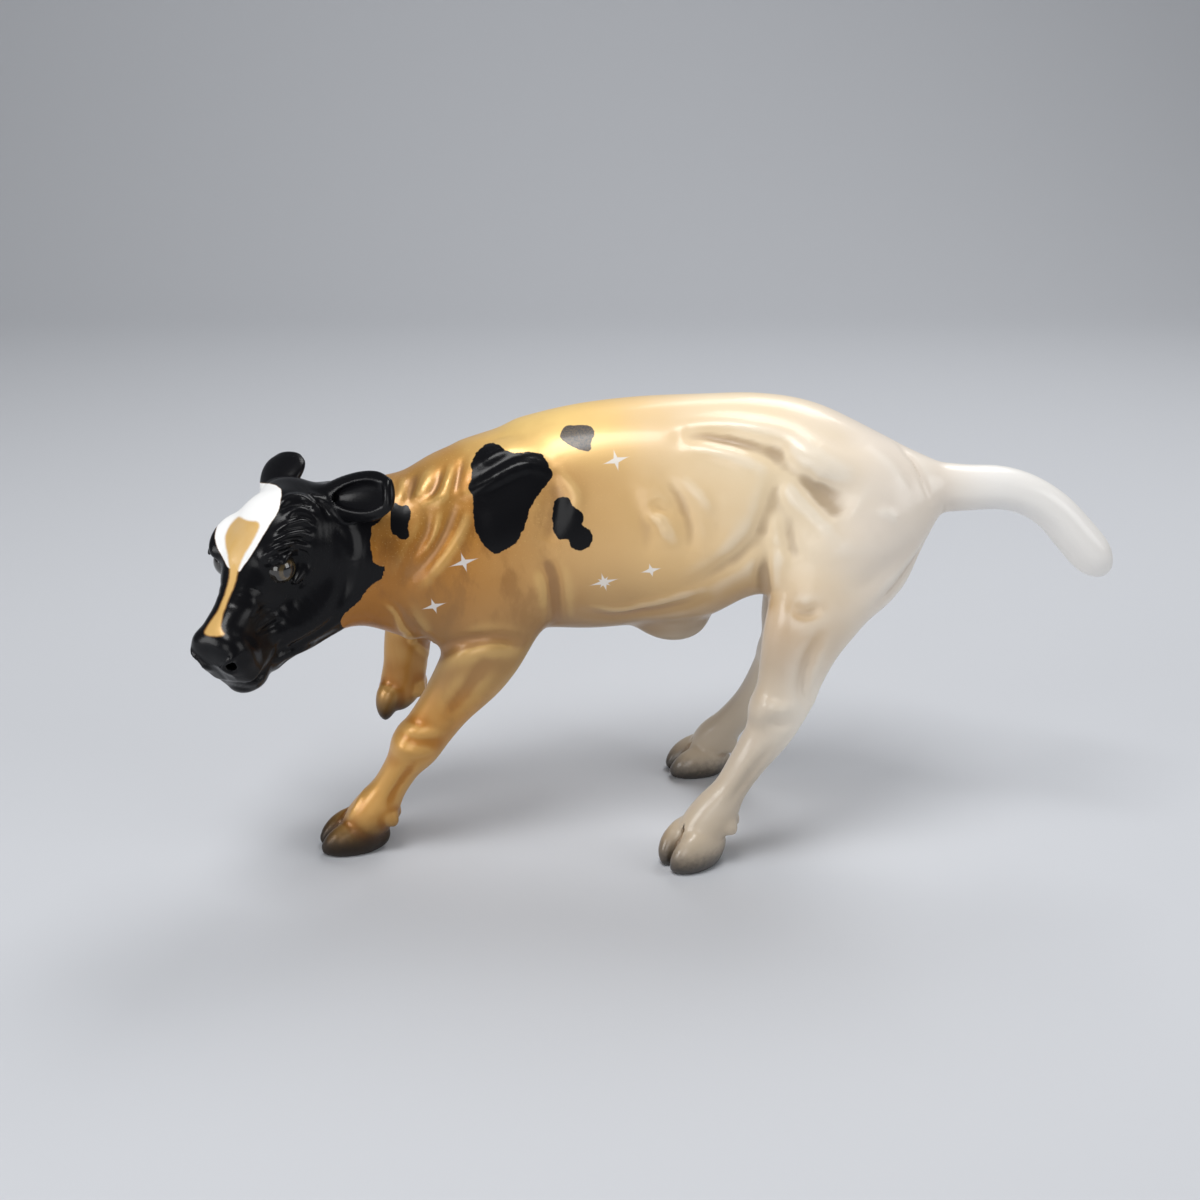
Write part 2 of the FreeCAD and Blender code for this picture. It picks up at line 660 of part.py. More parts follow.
block_reach = share("barrel_half_width", BLOCK_REACH_SHARE)
trunk_front = moved(neck_joint, neck_forward, "Sizes.parting_margin")
trunk_seam = [trunk_place(along, bow, 0.0) for along, bow in SEAM_SHARES]
trunk_end = moved(trunk_seam[-1], BACK, "Sizes.parting_margin")
trunk_block = left_block("trunk_left_block", [trunk_front, neck_joint, *trunk_seam, trunk_end,
                                              moved(trunk_end, -ASIDE, block_reach),
                                              moved(trunk_front, -ASIDE, block_reach)])
collar_end = moved(neck_joint, neck_forward, share("collar_length", -COLLAR_BLOCK_SHARE))
MUZZLE_SHARES = (1.0, 0.0, -1.0)
muzzle_end = moved(head_place(*MUZZLE_SHARES), FORWARD, "Sizes.parting_margin")
head_block = left_block("head_left_block", [collar_end, neck_joint, skull, muzzle_end,
                                            moved(muzzle_end, LEFT, block_reach),
                                            moved(collar_end, LEFT, block_reach)])

# Bosses and locating pins inside the trunk
bosses = []
pins = []
pin_sockets = []
for index, ((along, bow), rise) in enumerate(zip(SEAM_SHARES, BOSS_RISE_SHARES), start=1):
    centre = trunk_place(along, bow, rise)
    start = moved(centre, ASIDE, share("barrel_half_width", -BOSS_REACH_SHARE))
    boss = cylinder(f"boss_{index}", start, ASIDE, "Sizes.boss_radius",
                    share("barrel_half_width", 2 * BOSS_REACH_SHARE))
    bosses.append(common(f"boss_{index}_inside", boss, barrel))
    pin_root = moved(centre, ASIDE, "-Sizes.overrun")
    pins.append(cylinder(f"pin_{index}", pin_root, ASIDE, "Sizes.pin_radius",
                         "Sizes.pin_length + Sizes.overrun"))
    pin_sockets.append(cylinder(f"pin_{index}_socket", pin_root, ASIDE,
                                "Sizes.pin_radius + Sizes.fit_clearance",
                                "Sizes.pin_length + Sizes.overrun + Sizes.fit_clearance"))

# Assembly

trunk_skin = fuse("trunk_skin", [barrel, navel_fold, *muscles])
trunk_shell = cut("trunk_shell", trunk_skin, [trunk_cavity])
trunk_frame = cut("trunk_frame", fuse("trunk_with_bosses", [trunk_shell, *bosses]), [*sockets, tail_socket])
head_skin = fuse("head_skin", [face, nape, throat, *eyes])
head_core = fuse("head_core", [head_skin, collar])
head_shell = cut("head_shell", head_core, [face_cavity, nape_cavity, collar_bore, *nostrils,
                                           ears["left"][2], ears["right"][2]])

pieces = {
    "trunk_left_shell": fuse("trunk_left_part", [common("trunk_left_half", trunk_frame, trunk_block), *pins]),
    "trunk_right_shell": cut("trunk_right_part", cut("trunk_right_half", trunk_frame, [trunk_block]),
                             pin_sockets),
    "head_left_shell": common("head_left_part", head_shell, head_block),
    "head_right_shell": cut("head_right_part", head_shell, [head_block]),
    "tail": fuse("tail_part", [tail_rod, tail_peg]),
}
for name, (shank, hoof, peg, blade) in legs.items():
    if name == "foreleg_right":
        shank = cut(f"{name}_trimmed", shank, [barrel])
    whole = fuse(f"{name}_with_peg", [shank, hoof, peg])
    pieces[name] = cut(f"{name}_part", whole, [blade])
for word, (paddle, peg, socket) in ears.items():
    pieces[f"ear_{word}"] = fuse(f"ear_{word}_part", [cut(f"ear_{word}_trimmed", paddle, [head_skin]), peg])

for label, piece in pieces.items():
    piece.Label = label
doc.recompute()

for item in doc.Objects:
    if "Invalid" in item.State or "Error" in item.State:
        raise RuntimeError(f"{item.Name} failed: {item.State}")
for label, piece in pieces.items():
    if piece.Shape.isNull() or not piece.Shape.isValid():
        raise RuntimeError(f"{label} has no valid shape")

os.makedirs("parts", exist_ok=True)
for label, piece in pieces.items():
    piece.Shape.exportStep(f"parts/{label}.step")
    box = piece.Shape.BoundBox
    print(f"{label}: {len(piece.Shape.Solids)} solid, {piece.Shape.Volume:.0f} mm3, "
          f"x {box.XMin:.1f} to {box.XMax:.1f}, y {box.YMin:.1f} to {box.YMax:.1f}, "
          f"z {box.ZMin:.1f} to {box.ZMax:.1f}")
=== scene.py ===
import math
from functools import reduce

import bpy
import numpy as np
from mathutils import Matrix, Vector


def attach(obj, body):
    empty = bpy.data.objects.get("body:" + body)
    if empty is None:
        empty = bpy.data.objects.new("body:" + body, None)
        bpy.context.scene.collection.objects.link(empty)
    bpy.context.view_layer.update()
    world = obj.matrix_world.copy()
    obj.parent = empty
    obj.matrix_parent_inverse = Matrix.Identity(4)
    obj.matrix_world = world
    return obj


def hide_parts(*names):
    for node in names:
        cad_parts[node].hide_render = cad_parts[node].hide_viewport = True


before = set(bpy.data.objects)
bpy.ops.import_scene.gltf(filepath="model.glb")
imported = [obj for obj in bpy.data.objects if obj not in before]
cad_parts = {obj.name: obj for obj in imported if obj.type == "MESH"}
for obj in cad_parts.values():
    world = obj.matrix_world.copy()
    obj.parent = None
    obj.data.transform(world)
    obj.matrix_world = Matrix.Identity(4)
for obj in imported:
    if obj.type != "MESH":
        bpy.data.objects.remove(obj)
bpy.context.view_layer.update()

# The calf is modelled as clay: a grid of distances to its surface, in millimetres, negative
# inside. Limbs, muscles and bones are laid on it, wrinkles are drawn on it, and its skin is
# then parted into the moulded pieces. Places are in the modeller's own millimetres, with the
# head towards -X and the left side towards -Y; CLAY_SHIFT brings them to the frame.

MM = 0.001
CLAY_SHIFT = np.array([-4.5, 5.2, 0.0])
FAR = 30.0
STROKE_REACH = 2.4      # how far a stroke spreads, in its own widths
SIGHT_REACH = 60.0      # how far before and behind the calf a line of sight is searched
BODY_STEP = 0.5
HEAD_STEP = 0.3

# Where the photograph was taken from, to find places on the skin from places in it
PHOTO_SIZE = 1200.0
PHOTO_FOCAL = 1533.0
SENSOR_WIDTH = 36.0
PHOTO_PITCH = math.radians(22.0)
PHOTO_TARGET = np.array([-11.0, 0.0, 54.0])
PHOTO_AWAY = 322.0
LOOK = np.array([0.0, math.cos(PHOTO_PITCH), -math.sin(PHOTO_PITCH)])
LIFT = np.array([0.0, math.sin(PHOTO_PITCH), math.cos(PHOTO_PITCH)])
PHOTO_EYE = PHOTO_TARGET - LOOK * PHOTO_AWAY

# The head's own directions: forward along the face, left, and up through the crown
HEAD_TURN = math.radians(67.0)
HEAD_NOD = math.radians(35.0)
HEAD_LEAN = math.radians(3.7)
FORWARD = np.array([-math.cos(HEAD_TURN) * math.cos(HEAD_NOD),
                    -math.sin(HEAD_TURN) * math.cos(HEAD_NOD), -math.sin(HEAD_NOD)])
LEVEL_LEFT = np.array([math.sin(HEAD_TURN), -math.cos(HEAD_TURN), 0.0])
LEVEL_CROWN = np.cross(FORWARD, LEVEL_LEFT)
LEFT = LEVEL_LEFT * math.cos(HEAD_LEAN) + LEVEL_CROWN * math.sin(HEAD_LEAN)
CROWN = np.cross(FORWARD, LEFT)
POLL = np.array([-73.2, -12.1, 83.8])
ACROSS = np.array([0.0, 1.0, 0.0])


def unit(vector):
    """A vector of length one."""
    return np.asarray(vector, float) / np.linalg.norm(vector)


def on_head(along, left, down):
    """A place given along the face, to the left and below the crown."""
    return POLL + FORWARD * along + LEFT * left - CROWN * down


def in_photo(places):
    """Where places show in the photograph, in its pixels."""
    away = places - PHOTO_EYE
    depth = away @ LOOK
    return np.stack([PHOTO_SIZE / 2 + PHOTO_FOCAL * away[:, 0] / depth,
                     PHOTO_SIZE / 2 - PHOTO_FOCAL * (away @ LIFT) / depth], axis=1)


# Clay


def smooth_least(a, b, blend):
    """The lesser of two fields, with a rounded valley between them."""
    share = np.clip(0.5 + 0.5 * (b - a) / blend, 0.0, 1.0)
    return b * (1 - share) + a * share - blend * share * (1 - share)


def smooth_path(points, rounds=5):
    """A path of places with radii, rounded through its points."""
    points = np.array(points, float)
    ends = np.vstack([2 * points[0] - points[1], points, 2 * points[-1] - points[-2]])
    fine = []
    for i in range(1, len(ends) - 2):
        before, start, end, after = ends[i - 1:i + 3]
        for t in np.arange(rounds) / rounds:
            fine.append(0.5 * (2 * start + (end - before) * t
                               + (2 * before - 5 * start + 4 * end - after) * t ** 2
                               + (3 * start - before - 3 * end + after) * t ** 3))
    fine.append(points[-1])
    return np.array(fine)


def limb(points, across=ACROSS, rounds=5):
    """A swept form: rows of place, half depth and half width, with the width lying across."""
    path = smooth_path(points, rounds)
    reach = path[:, 3:].max()
    low = path[:, :3].min(0) - reach
    high = path[:, :3].max(0) + reach

    def distance(x, y, z):
        best = None
        for start, end in zip(path[:-1], path[1:]):
            way = end[:3] - start[:3]
            length2 = way @ way
            if length2 < 1e-9:
                continue
            side = unit(across - way * (way @ across) / length2)
            px, py, pz = x - start[0], y - start[1], z - start[2]
            t = np.clip((px * way[0] + py * way[1] + pz * way[2]) / length2, 0.0, 1.0)
            px, py, pz = px - t * way[0], py - t * way[1], pz - t * way[2]
            aside2 = (px * side[0] + py * side[1] + pz * side[2]) ** 2
            upright2 = np.maximum(px * px + py * py + pz * pz - aside2, 0.0)
            depth2 = (start[3] + t * (end[3] - start[3])) ** 2
            width2 = (start[4] + t * (end[4] - start[4])) ** 2
            near = np.sqrt(upright2 / depth2 + aside2 / width2)
            steep = np.sqrt(upright2 / depth2 ** 2 + aside2 / width2 ** 2) + 1e-6
            found = near * (near - 1.0) / steep
            best = found if best is None else np.minimum(best, found)
        return best

    return low, high, distance


def egg(centre, sizes, long_way=(1.0, 0.0, 0.0), up_way=(0.0, 0.0, 1.0)):
    """An egg-shaped lump, with half sizes along its long way, across it and up."""
    long_way = unit(long_way)
    up_way = unit(np.array(up_way) - long_way * (long_way @ np.array(up_way)))
    side_way = np.cross(up_way, long_way)
    centre = np.array(centre, float)
    reach = max(sizes)

    def distance(x, y, z):
        px, py, pz = x - centre[0], y - centre[1], z - centre[2]
        near2 = 0.0
        steep2 = 0.0
        for way, radius in zip((long_way, side_way, up_way), sizes):
            part = (px * way[0] + py * way[1] + pz * way[2]) / radius
            near2 = near2 + part ** 2
            steep2 = steep2 + (part / radius) ** 2
        near = np.sqrt(near2)
        return near * (near - 1.0) / (np.sqrt(steep2) + 1e-6)

    return centre - reach, centre + reach, distance


def section(aside, up, width, depth, square, pear):
    """Distances to an upright section that is squarer than round, and fuller above or below."""
    high = up / depth
    wide = aside / (width * (1 + pear * np.clip(high, -1, 1)))
    round_share = (np.abs(high) ** square + np.abs(wide) ** square) ** (1 / square) + 1e-4
    inside = np.sqrt(aside ** 2 + up ** 2) * (1 - 1 / round_share)
    return np.where(round_share < 0.1, -np.minimum(depth, width), inside)


def turned_barrel(stations, square=2.25, pear=-0.10):
    """The trunk: sections at places along X, fuller below."""
    rows = smooth_path(stations, 8)
    low = np.array([rows[0, 0], (rows[:, 1] - rows[:, 4]).min() - 2,
                    (rows[:, 2] - rows[:, 3]).min() - 2])
    high = np.array([rows[-1, 0], (rows[:, 1] + rows[:, 4]).max() + 2,
                     (rows[:, 2] + rows[:, 3]).max() + 2])

    def distance(x, y, z):
        middle_y, middle_z, depth, width = (np.interp(x, rows[:, 0], rows[:, i])
                                            for i in (1, 2, 3, 4))
        inside = section(y - middle_y, z - middle_z, width, depth, square, pear)
        return np.maximum(inside, np.maximum(rows[0, 0] - x, x - rows[-1, 0]))

    return low, high, distance


def skull(stations, square=2.5, pear=0.10, reach=26):
    """The head: sections at places along the face, in its own directions, fuller above."""
    rows = smooth_path(stations, 8)
    middle = on_head(18, 0, 10)

    def distance(x, y, z):
        px, py, pz = x - POLL[0], y - POLL[1], z - POLL[2]
        along = px * FORWARD[0] + py * FORWARD[1] + pz * FORWARD[2]
        left = px * LEFT[0] + py * LEFT[1] + pz * LEFT[2]
        down = -(px * CROWN[0] + py * CROWN[1] + pz * CROWN[2])
        top, foot, width = (np.interp(along, rows[:, 0], rows[:, i]) for i in (1, 2, 3))
        inside = section(left, down - (foot + top) / 2, width, (foot - top) / 2, square, pear)
        return np.maximum(inside, np.maximum(rows[0, 0] - along, along - rows[-1, 0]))

    return middle - reach, middle + reach, distance


class Clay:
    """A block of clay on a grid."""

    def __init__(self, low, high, step):
        self.low = np.array(low, float)
        self.step = step
        counts = np.ceil((np.array(high) - self.low) / step).astype(int) + 1
        self.axes = [(self.low[i] + step * np.arange(counts[i])).astype(np.float32)
                     for i in range(3)]
        self.field = np.full(counts, FAR, np.float32)

    def window(self, low, high, margin):
        """The part of the grid round a form, and its coordinates."""
        cut = []
        for i in range(3):
            first = int(np.searchsorted(self.axes[i], low[i] - margin))
            last = int(np.searchsorted(self.axes[i], high[i] + margin))
            cut.append(slice(first, max(last, first)))
        cut = tuple(cut)
        x, y, z = (self.axes[i][cut[i]] for i in range(3))
        return cut, x[:, None, None], y[None, :, None], z[None, None, :]

    def add(self, form, blend=2.0):
        """Lay a form on, blended in."""
        low, high, distance = form
        cut, x, y, z = self.window(low, high, blend + 2)
        if self.field[cut].size:
            self.field[cut] = smooth_least(self.field[cut], distance(x, y, z), blend)

    def carve(self, form, blend=1.0):
        """Take a form away, with its rim rounded."""
        low, high, distance = form
        cut, x, y, z = self.window(low, high, blend + 1)
        if self.field[cut].size:
            self.field[cut] = -smooth_least(-self.field[cut], distance(x, y, z), blend)

    def soften(self, reach):
        """Melt the joins between forms over about a reach in millimetres."""
        for _ in range(max(1, round(2 * (reach / self.step) ** 2))):
            for axis in range(3):
                first = np.take(self.field, [0], axis=axis)
                last = np.take(self.field, [-1], axis=axis)
                before = np.concatenate([first, np.delete(self.field, -1, axis=axis)], axis=axis)
                after = np.concatenate([np.delete(self.field, 0, axis=axis), last], axis=axis)
                self.field = (before + after) * np.float32(0.25) + self.field * np.float32(0.5)

    def stroke(self, points, width, height):
        """Raise a ridge along places on the skin, or sink a groove where the height is negative."""
        path = smooth_path([list(point) + [1, 1] for point in points], 4)[:, :3]
        reach = STROKE_REACH * width
        cut, x, y, z = self.window(path.min(0), path.max(0), reach)
        if not self.field[cut].size:
            return
        nearest = np.full(self.field[cut].shape, FAR * FAR, np.float32)
        count = len(path) - 1
        fade = np.zeros_like(nearest)
        for i, (start, end) in enumerate(zip(path[:-1], path[1:])):
            way = end - start
            length2 = way @ way + 1e-9
            px, py, pz = x - start[0], y - start[1], z - start[2]
            t = np.clip((px * way[0] + py * way[1] + pz * way[2]) / length2, 0.0, 1.0)
            away2 = (px - t * way[0]) ** 2 + (py - t * way[1]) ** 2 + (pz - t * way[2]) ** 2
            along = (i + t) / count
            closer = away2 < nearest
            nearest = np.where(closer, away2, nearest)
            fade = np.where(closer, np.sin(math.pi * (0.06 + 0.88 * along)) ** 0.8, fade)
        self.field[cut] -= height * fade * np.exp(-nearest / width ** 2)

    def sample(self, places):
        """The field's value and slope at places, between the grid's points."""
        at = (places - self.low) / self.step
        at = np.clip(at, 0, np.array(self.field.shape) - 1.001)
        base = at.astype(int)
        t = at - base
        i, j, k = base.T
        corner = {}
        for a in (0, 1):
            for b in (0, 1):
                for c in (0, 1):
                    corner[a, b, c] = self.field[i + a, j + b, k + c]
        u, v, w = t.T

        def mix(p, q, s):
            return p * (1 - s) + q * s

        def plane(a):
            near, far = (mix(corner[a, b, 0], corner[a, b, 1], w) for b in (0, 1))
            return mix(near, far, v)

        value = mix(plane(0), plane(1), u)
        slope_x = plane(1) - plane(0)
        slope_y = mix(*(mix(*(corner[a, 1, c] - corner[a, 0, c] for c in (0, 1)), w)
                        for a in (0, 1)), u)
        slope_z = mix(*(mix(*(corner[a, b, 1] - corner[a, b, 0] for b in (0, 1)), v)
                        for a in (0, 1)), u)
        return value, np.stack([slope_x, slope_y, slope_z], axis=1) / self.step

    def on_skin(self, pixels):
        """The first places on the skin along lines of sight through the photograph's pixels."""
        pixels = np.array(pixels, float)
        aside = (pixels[:, 0] - PHOTO_SIZE / 2) / PHOTO_FOCAL
        up = (PHOTO_SIZE / 2 - pixels[:, 1]) / PHOTO_FOCAL
        ways = LOOK + aside[:, None] * np.array([1.0, 0.0, 0.0]) + up[:, None] * LIFT
        found = np.full(len(pixels), -1.0)
        nearest = np.full(len(pixels), FAR)
        backup = np.zeros(len(pixels))
        high = self.low + self.step * (np.array(self.field.shape) - 1)
        for distance in np.arange(PHOTO_AWAY - SIGHT_REACH, PHOTO_AWAY + SIGHT_REACH,
                                  self.step * 0.5):
            places = PHOTO_EYE + ways * distance
            inside_grid = np.all((places > self.low) & (places < high), axis=1)
            value = np.where(inside_grid, self.sample(places)[0], FAR)
            better = value < nearest
            nearest = np.where(better, value, nearest)
            backup = np.where(better, distance, backup)
            found = np.where((found < 0) & (value <= 0), distance, found)
        found = np.where(found < 0, backup, found)
        return PHOTO_EYE + ways * found[:, None]

    def drawn(self, pixels, width, height):
        """A stroke along a line drawn on the photograph."""
        dense = smooth_path([[px, py, 0, 1, 1] for px, py in pixels], 3)[:, :2]
        return self.on_skin(dense), width, height

    def skin(self):
        """The surface as places and four-sided faces, one place in each cell that it crosses."""
        inside = self.field < 0
        shape = np.array(self.field.shape) - 1
        count = sum(inside[a:a + shape[0], b:b + shape[1], c:c + shape[2]].astype(np.int8)
                    for a in (0, 1) for b in (0, 1) for c in (0, 1))
        cells = np.argwhere((count > 0) & (count < 8))
        number = np.full(shape, -1, np.int64)
        number[tuple(cells.T)] = np.arange(len(cells))
        total = np.zeros((len(cells), 3))
        crossings = np.zeros(len(cells))
        for axis in range(3):
            others = [i for i in range(3) if i != axis]
            for a in (0, 1):
                for b in (0, 1):
                    near = cells.copy()
                    near[:, others[0]] += a
                    near[:, others[1]] += b
                    far = near.copy()
                    far[:, axis] += 1
                    first = self.field[tuple(near.T)]
                    second = self.field[tuple(far.T)]
                    crosses = (first < 0) != (second < 0)
                    t = np.where(crosses, first / np.where(crosses, first - second, 1.0), 0.0)
                    place = near.astype(float)
                    place[:, axis] += t
                    total += place * crosses[:, None]
                    crossings += crosses
        places = self.low + self.step * total / crossings[:, None]
        faces = []
        for axis in range(3):
            others = [(axis + 1) % 3, (axis + 2) % 3]
            first = np.take(inside, range(0, inside.shape[axis] - 1), axis=axis)
            second = np.take(inside, range(1, inside.shape[axis]), axis=axis)
            edges = np.argwhere(first != second)
            keep = np.all([(edges[:, i] > 0) & (edges[:, i] < shape[i]) for i in others], axis=0)
            edges = edges[keep]
            outward = inside[tuple(edges.T)]
            ring = []
            for a, b in ((0, 0), (-1, 0), (-1, -1), (0, -1)):
                cell = edges.copy()
                cell[:, others[0]] += a
                cell[:, others[1]] += b
                ring.append(number[tuple(cell.T)])
            ring = np.stack(ring, axis=1)
            faces.append(np.where(outward[:, None], ring, ring[:, ::-1]))
        faces = np.concatenate(faces)
        faces = faces[(faces >= 0).all(axis=1)]
        for _ in range(3):
            value, slope = self.sample(places)
            size2 = np.maximum((slope ** 2).sum(1), 0.2)
            places = places - slope * (value / size2)[:, None] * 0.9
        slope = self.sample(places)[1]
        return places, faces, slope / (np.linalg.norm(slope, axis=1)[:, None] + 1e-9)


# Trunk, neck, throat, tail and spine: place, half depth and half width

BARREL_MIDDLE = 2.5
TAIL_MIDDLE = -2
SWITCH_RADIUS = 2.9
SWITCH_GROOVES = 7
TRUNK = [
    (-53.0, -7.0, 67.5, 9.0, 7.0),
    (-46.0, -5.0, 67.3, 16.2, 12.5),
    (-34.0, -1.0, 69.0, 21.0, 15.6),
    (-20.0, 1.5, 71.8, 22.4, 16.6),
    (-5.0, 3.0, 72.7, 23.3, 17.2),
    (10.0, 3.0, 73.4, 22.8, 17.5),
    (21.0, 2.5, 76.2, 20.2, 16.8),
    (33.0, 1.5, 75.6, 19.4, 15.4),
    (45.0, -0.5, 74.2, 15.6, 13.0),
    (52.5, -1.5, 75.4, 10.6, 9.2),
    (56.6, -2.0, 77.4, 5.6, 5.0),
    (58.2, -2.0, 78.2, 2.0, 2.0),
]
NECK = [
    (-36.0, -1.5, 68.6, 20.0, 14.8),
    (-46.0, -5.0, 67.4, 17.0, 13.4),
    (-57.0, -9.0, 68.4, 14.8, 11.6),
    (-65.5, -12.0, 71.0, 12.4, 10.2),
    (-71.0, -15.5, 73.0, 10.6, 9.6),
]
THROAT = [
    (-50.0, -8.5, 60.5, 7.4, 7.8),
    (-58.5, -12.0, 62.0, 6.8, 6.8),
    (-65.0, -17.0, 61.0, 6.4, 6.2),
    (-70.5, -22.0, 58.4, 5.2, 5.0),
]
TAIL = [
    (50.0, -2.0, 79.0, 6.6, 5.8),
    (56.5, -2.0, 79.5, 5.3, 4.9),
    (63.0, -2.0, 79.4, 4.8, 4.6),
    (70.0, -2.0, 79.4, 4.5, 4.4),
    (76.0, -2.0, 77.8, 4.2, 4.2),
    (81.5, -2.0, 74.3, 4.2, 4.2),
    (86.3, -2.0, 69.3, 4.4, 4.3),
    (90.0, -2.0, 65.2, 4.3, 4.0),
    (92.0, -2.0, 62.9, 3.0, 2.8),
]
SPINE = [
    (-26.0, 0.8, 89.0, 3.0, 3.2),
    (-10.0, 2.6, 92.0, 2.6, 3.2),
    (10.0, 3.0, 94.2, 2.4, 3.4),
    (26.0, 2.2, 93.8, 2.4, 4.0),
    (40.0, 0.5, 88.0, 2.6, 4.0),
    (52.0, -1.6, 81.6, 3.0, 3.6),
]

# Legs: rows of place, half depth seen from the side, and half width

NEAR_FORELEG = [
    (-31.0, -9.0, 60.0, 10.0, 6.5),
    (-33.4, -11.0, 51.5, 8.9, 6.4),
    (-36.8, -12.0, 44.0, 7.4, 5.8),
    (-42.5, -11.5, 35.8, 5.7, 4.9),
    (-46.6, -11.0, 29.8, 5.2, 4.6),
    (-49.6, -11.0, 25.6, 5.2, 4.8),
    (-52.4, -10.8, 21.2, 4.0, 3.8),
    (-55.8, -10.4, 15.4, 3.75, 3.4),
    (-58.4, -10.0, 11.0, 4.6, 4.0),
    (-60.6, -9.7, 7.6, 5.0, 4.5),
    (-62.8, -9.3, 4.6, 4.6, 4.4),
]
NEAR_HINDLEG = [
    (36.5, -9.0, 66.0, 13.0, 7.0),
    (33.4, -11.5, 58.5, 10.2, 7.2),
    (30.2, -13.3, 51.5, 8.3, 6.4),
    (28.0, -14.0, 43.5, 6.7, 5.3),
    (26.6, -14.5, 37.6, 5.9, 4.6),
    (24.2, -14.5, 31.0, 5.0, 4.2),
    (19.8, -15.0, 23.8, 3.95, 3.6),
    (16.2, -15.0, 17.2, 3.65, 3.4),
    (13.4, -15.0, 12.2, 4.8, 4.2),
    (11.0, -15.1, 8.4, 5.0, 4.5),
    (9.4, -15.3, 4.8, 4.9, 4.7),
]
FAR_HINDLEG = [
    (38.0, 8.0, 64.0, 12.5, 7.4),
    (34.6, 10.5, 55.5, 9.8, 7.0),
    (32.0, 12.6, 46.5, 7.6, 5.6),
    (31.0, 14.2, 38.6, 6.2, 4.6),
    (28.4, 16.6, 31.0, 5.1, 4.2),
    (24.0, 20.0, 21.6, 3.9, 3.6),
    (19.4, 22.8, 14.2, 3.8, 3.5),
    (16.2, 24.6, 9.4, 4.6, 4.1),
    (14.0, 25.5, 5.6, 4.3, 4.2),
]
FAR_FORELEG = [
    (-28.0, 9.0, 58.0, 9.5, 6.4),
    (-33.5, 10.8, 51.0, 8.2, 6.2),
    (-42.0, 11.8, 47.6, 6.4, 5.2),
    (-49.5, 12.2, 45.4, 5.4, 4.8),
    (-52.8, 12.2, 42.6, 5.2, 4.7),
    (-53.6, 12.0, 38.6, 5.2, 4.4),
    (-54.3, 12.0, 33.6, 4.9, 4.0),
    (-55.2, 12.0, 29.4, 4.9, 4.2),
    (-56.4, 12.0, 26.6, 4.0, 3.9),
]

# A claw: shares of a hoof's length and height, half depth as a share, half width, place aside

CLAW = [
    (-0.66, 0.40, 0.42, 2.4, 1.9),
    (-0.20, 0.46, 0.56, 3.0, 2.5),
    (0.30, 0.40, 0.50, 3.0, 2.7),
    (0.70, 0.30, 0.38, 2.6, 2.5),
    (1.00, 0.20, 0.23, 1.8, 2.1),
]


def hoof(clay, middle, toe_way, up_way, length, height, spread=1.0):
    """Two claws side by side, each from its heel bulb to its toe, parted by a cleft."""
    toe_way = unit(toe_way)
    up_way = unit(up_way)
    aside = np.cross(up_way, toe_way)
    for side in (-1, 1):
        claw = [(*(middle + toe_way * length * along + up_way * height * up
                   + aside * out * spread * side), height * tall, wide)
                for along, up, tall, wide, out in CLAW]
        clay.add(limb(claw, aside, 3), 0.7)
    cleft = [(*(middle + toe_way * length * 0.30 + up_way * height * 1.00), 0.6, 0.35),
             (*(middle + toe_way * length * 1.05 + up_way * height * 0.50), 1.0, 0.45),
             (*(middle + toe_way * length * 1.35 - up_way * 0.2), 1.2, 0.5)]
    clay.carve(limb(cleft, aside, 1), 0.7)


def dewclaws(clay, middle, aside, down):
    """Two small claws behind a fetlock."""
    for side in (-1, 1):
        at = np.array(middle) + np.array(aside) * 1.9 * side
        clay.add(egg(at, (1.9, 1.3, 1.4), down), 1.5)


def lay_neck(clay):
    """The neck, and the loose skin of the throat below it."""
    for path, way in ((NECK, (-0.9, -0.4, 0.0)), (THROAT, (-0.9, -0.5, 0.0))):
        clay.add(limb(path, unit(np.cross(way, (0, 0, 1)))), 4.0)


def lay_legs(clay):
    """The four legs with their joints."""
    for path in (NEAR_FORELEG, NEAR_HINDLEG, FAR_HINDLEG, FAR_FORELEG):
        clay.add(limb(path), 4.0)
    # elbow, knees, and the hocks with their tendons
    clay.add(egg((-31.8, -12.8, 49.4), (3.4, 3.2, 3.6)), 2.5)
    clay.add(egg((-50.9, -11.4, 26.6), (3.6, 4.4, 3.4), (0.45, 0, 0.9)), 1.6)
    clay.add(egg((-48.4, -13.6, 28.6), (2.6, 2.2, 3.0), (0.45, 0, 0.9)), 1.6)
    clay.add(egg((-53.2, 12.2, 44.2), (3.6, 4.2, 3.4)), 2.0)
    for heel, hock, thigh in (((29.6, -14.2, 38.2), (22.6, -14.4, 36.4), (34.0, -12.2, 52.0)),
                              ((34.0, 14.4, 39.0), (27.6, 14.6, 37.0), (38.0, 12.0, 52.0))):
        clay.add(egg(heel, (4.6, 2.4, 2.7), (0.25, 0, 1)), 1.8)
        clay.add(egg(hock, (3.6, 4.4, 2.6), (0.5, 0, 1)), 2.4)
        halfway = 0.5 * np.array(heel) + 0.5 * np.array(thigh)
        clay.add(limb([(*heel, 2.0, 1.6), (*halfway, 1.5, 1.3), (*thigh, 2.0, 1.8)]), 3.0)


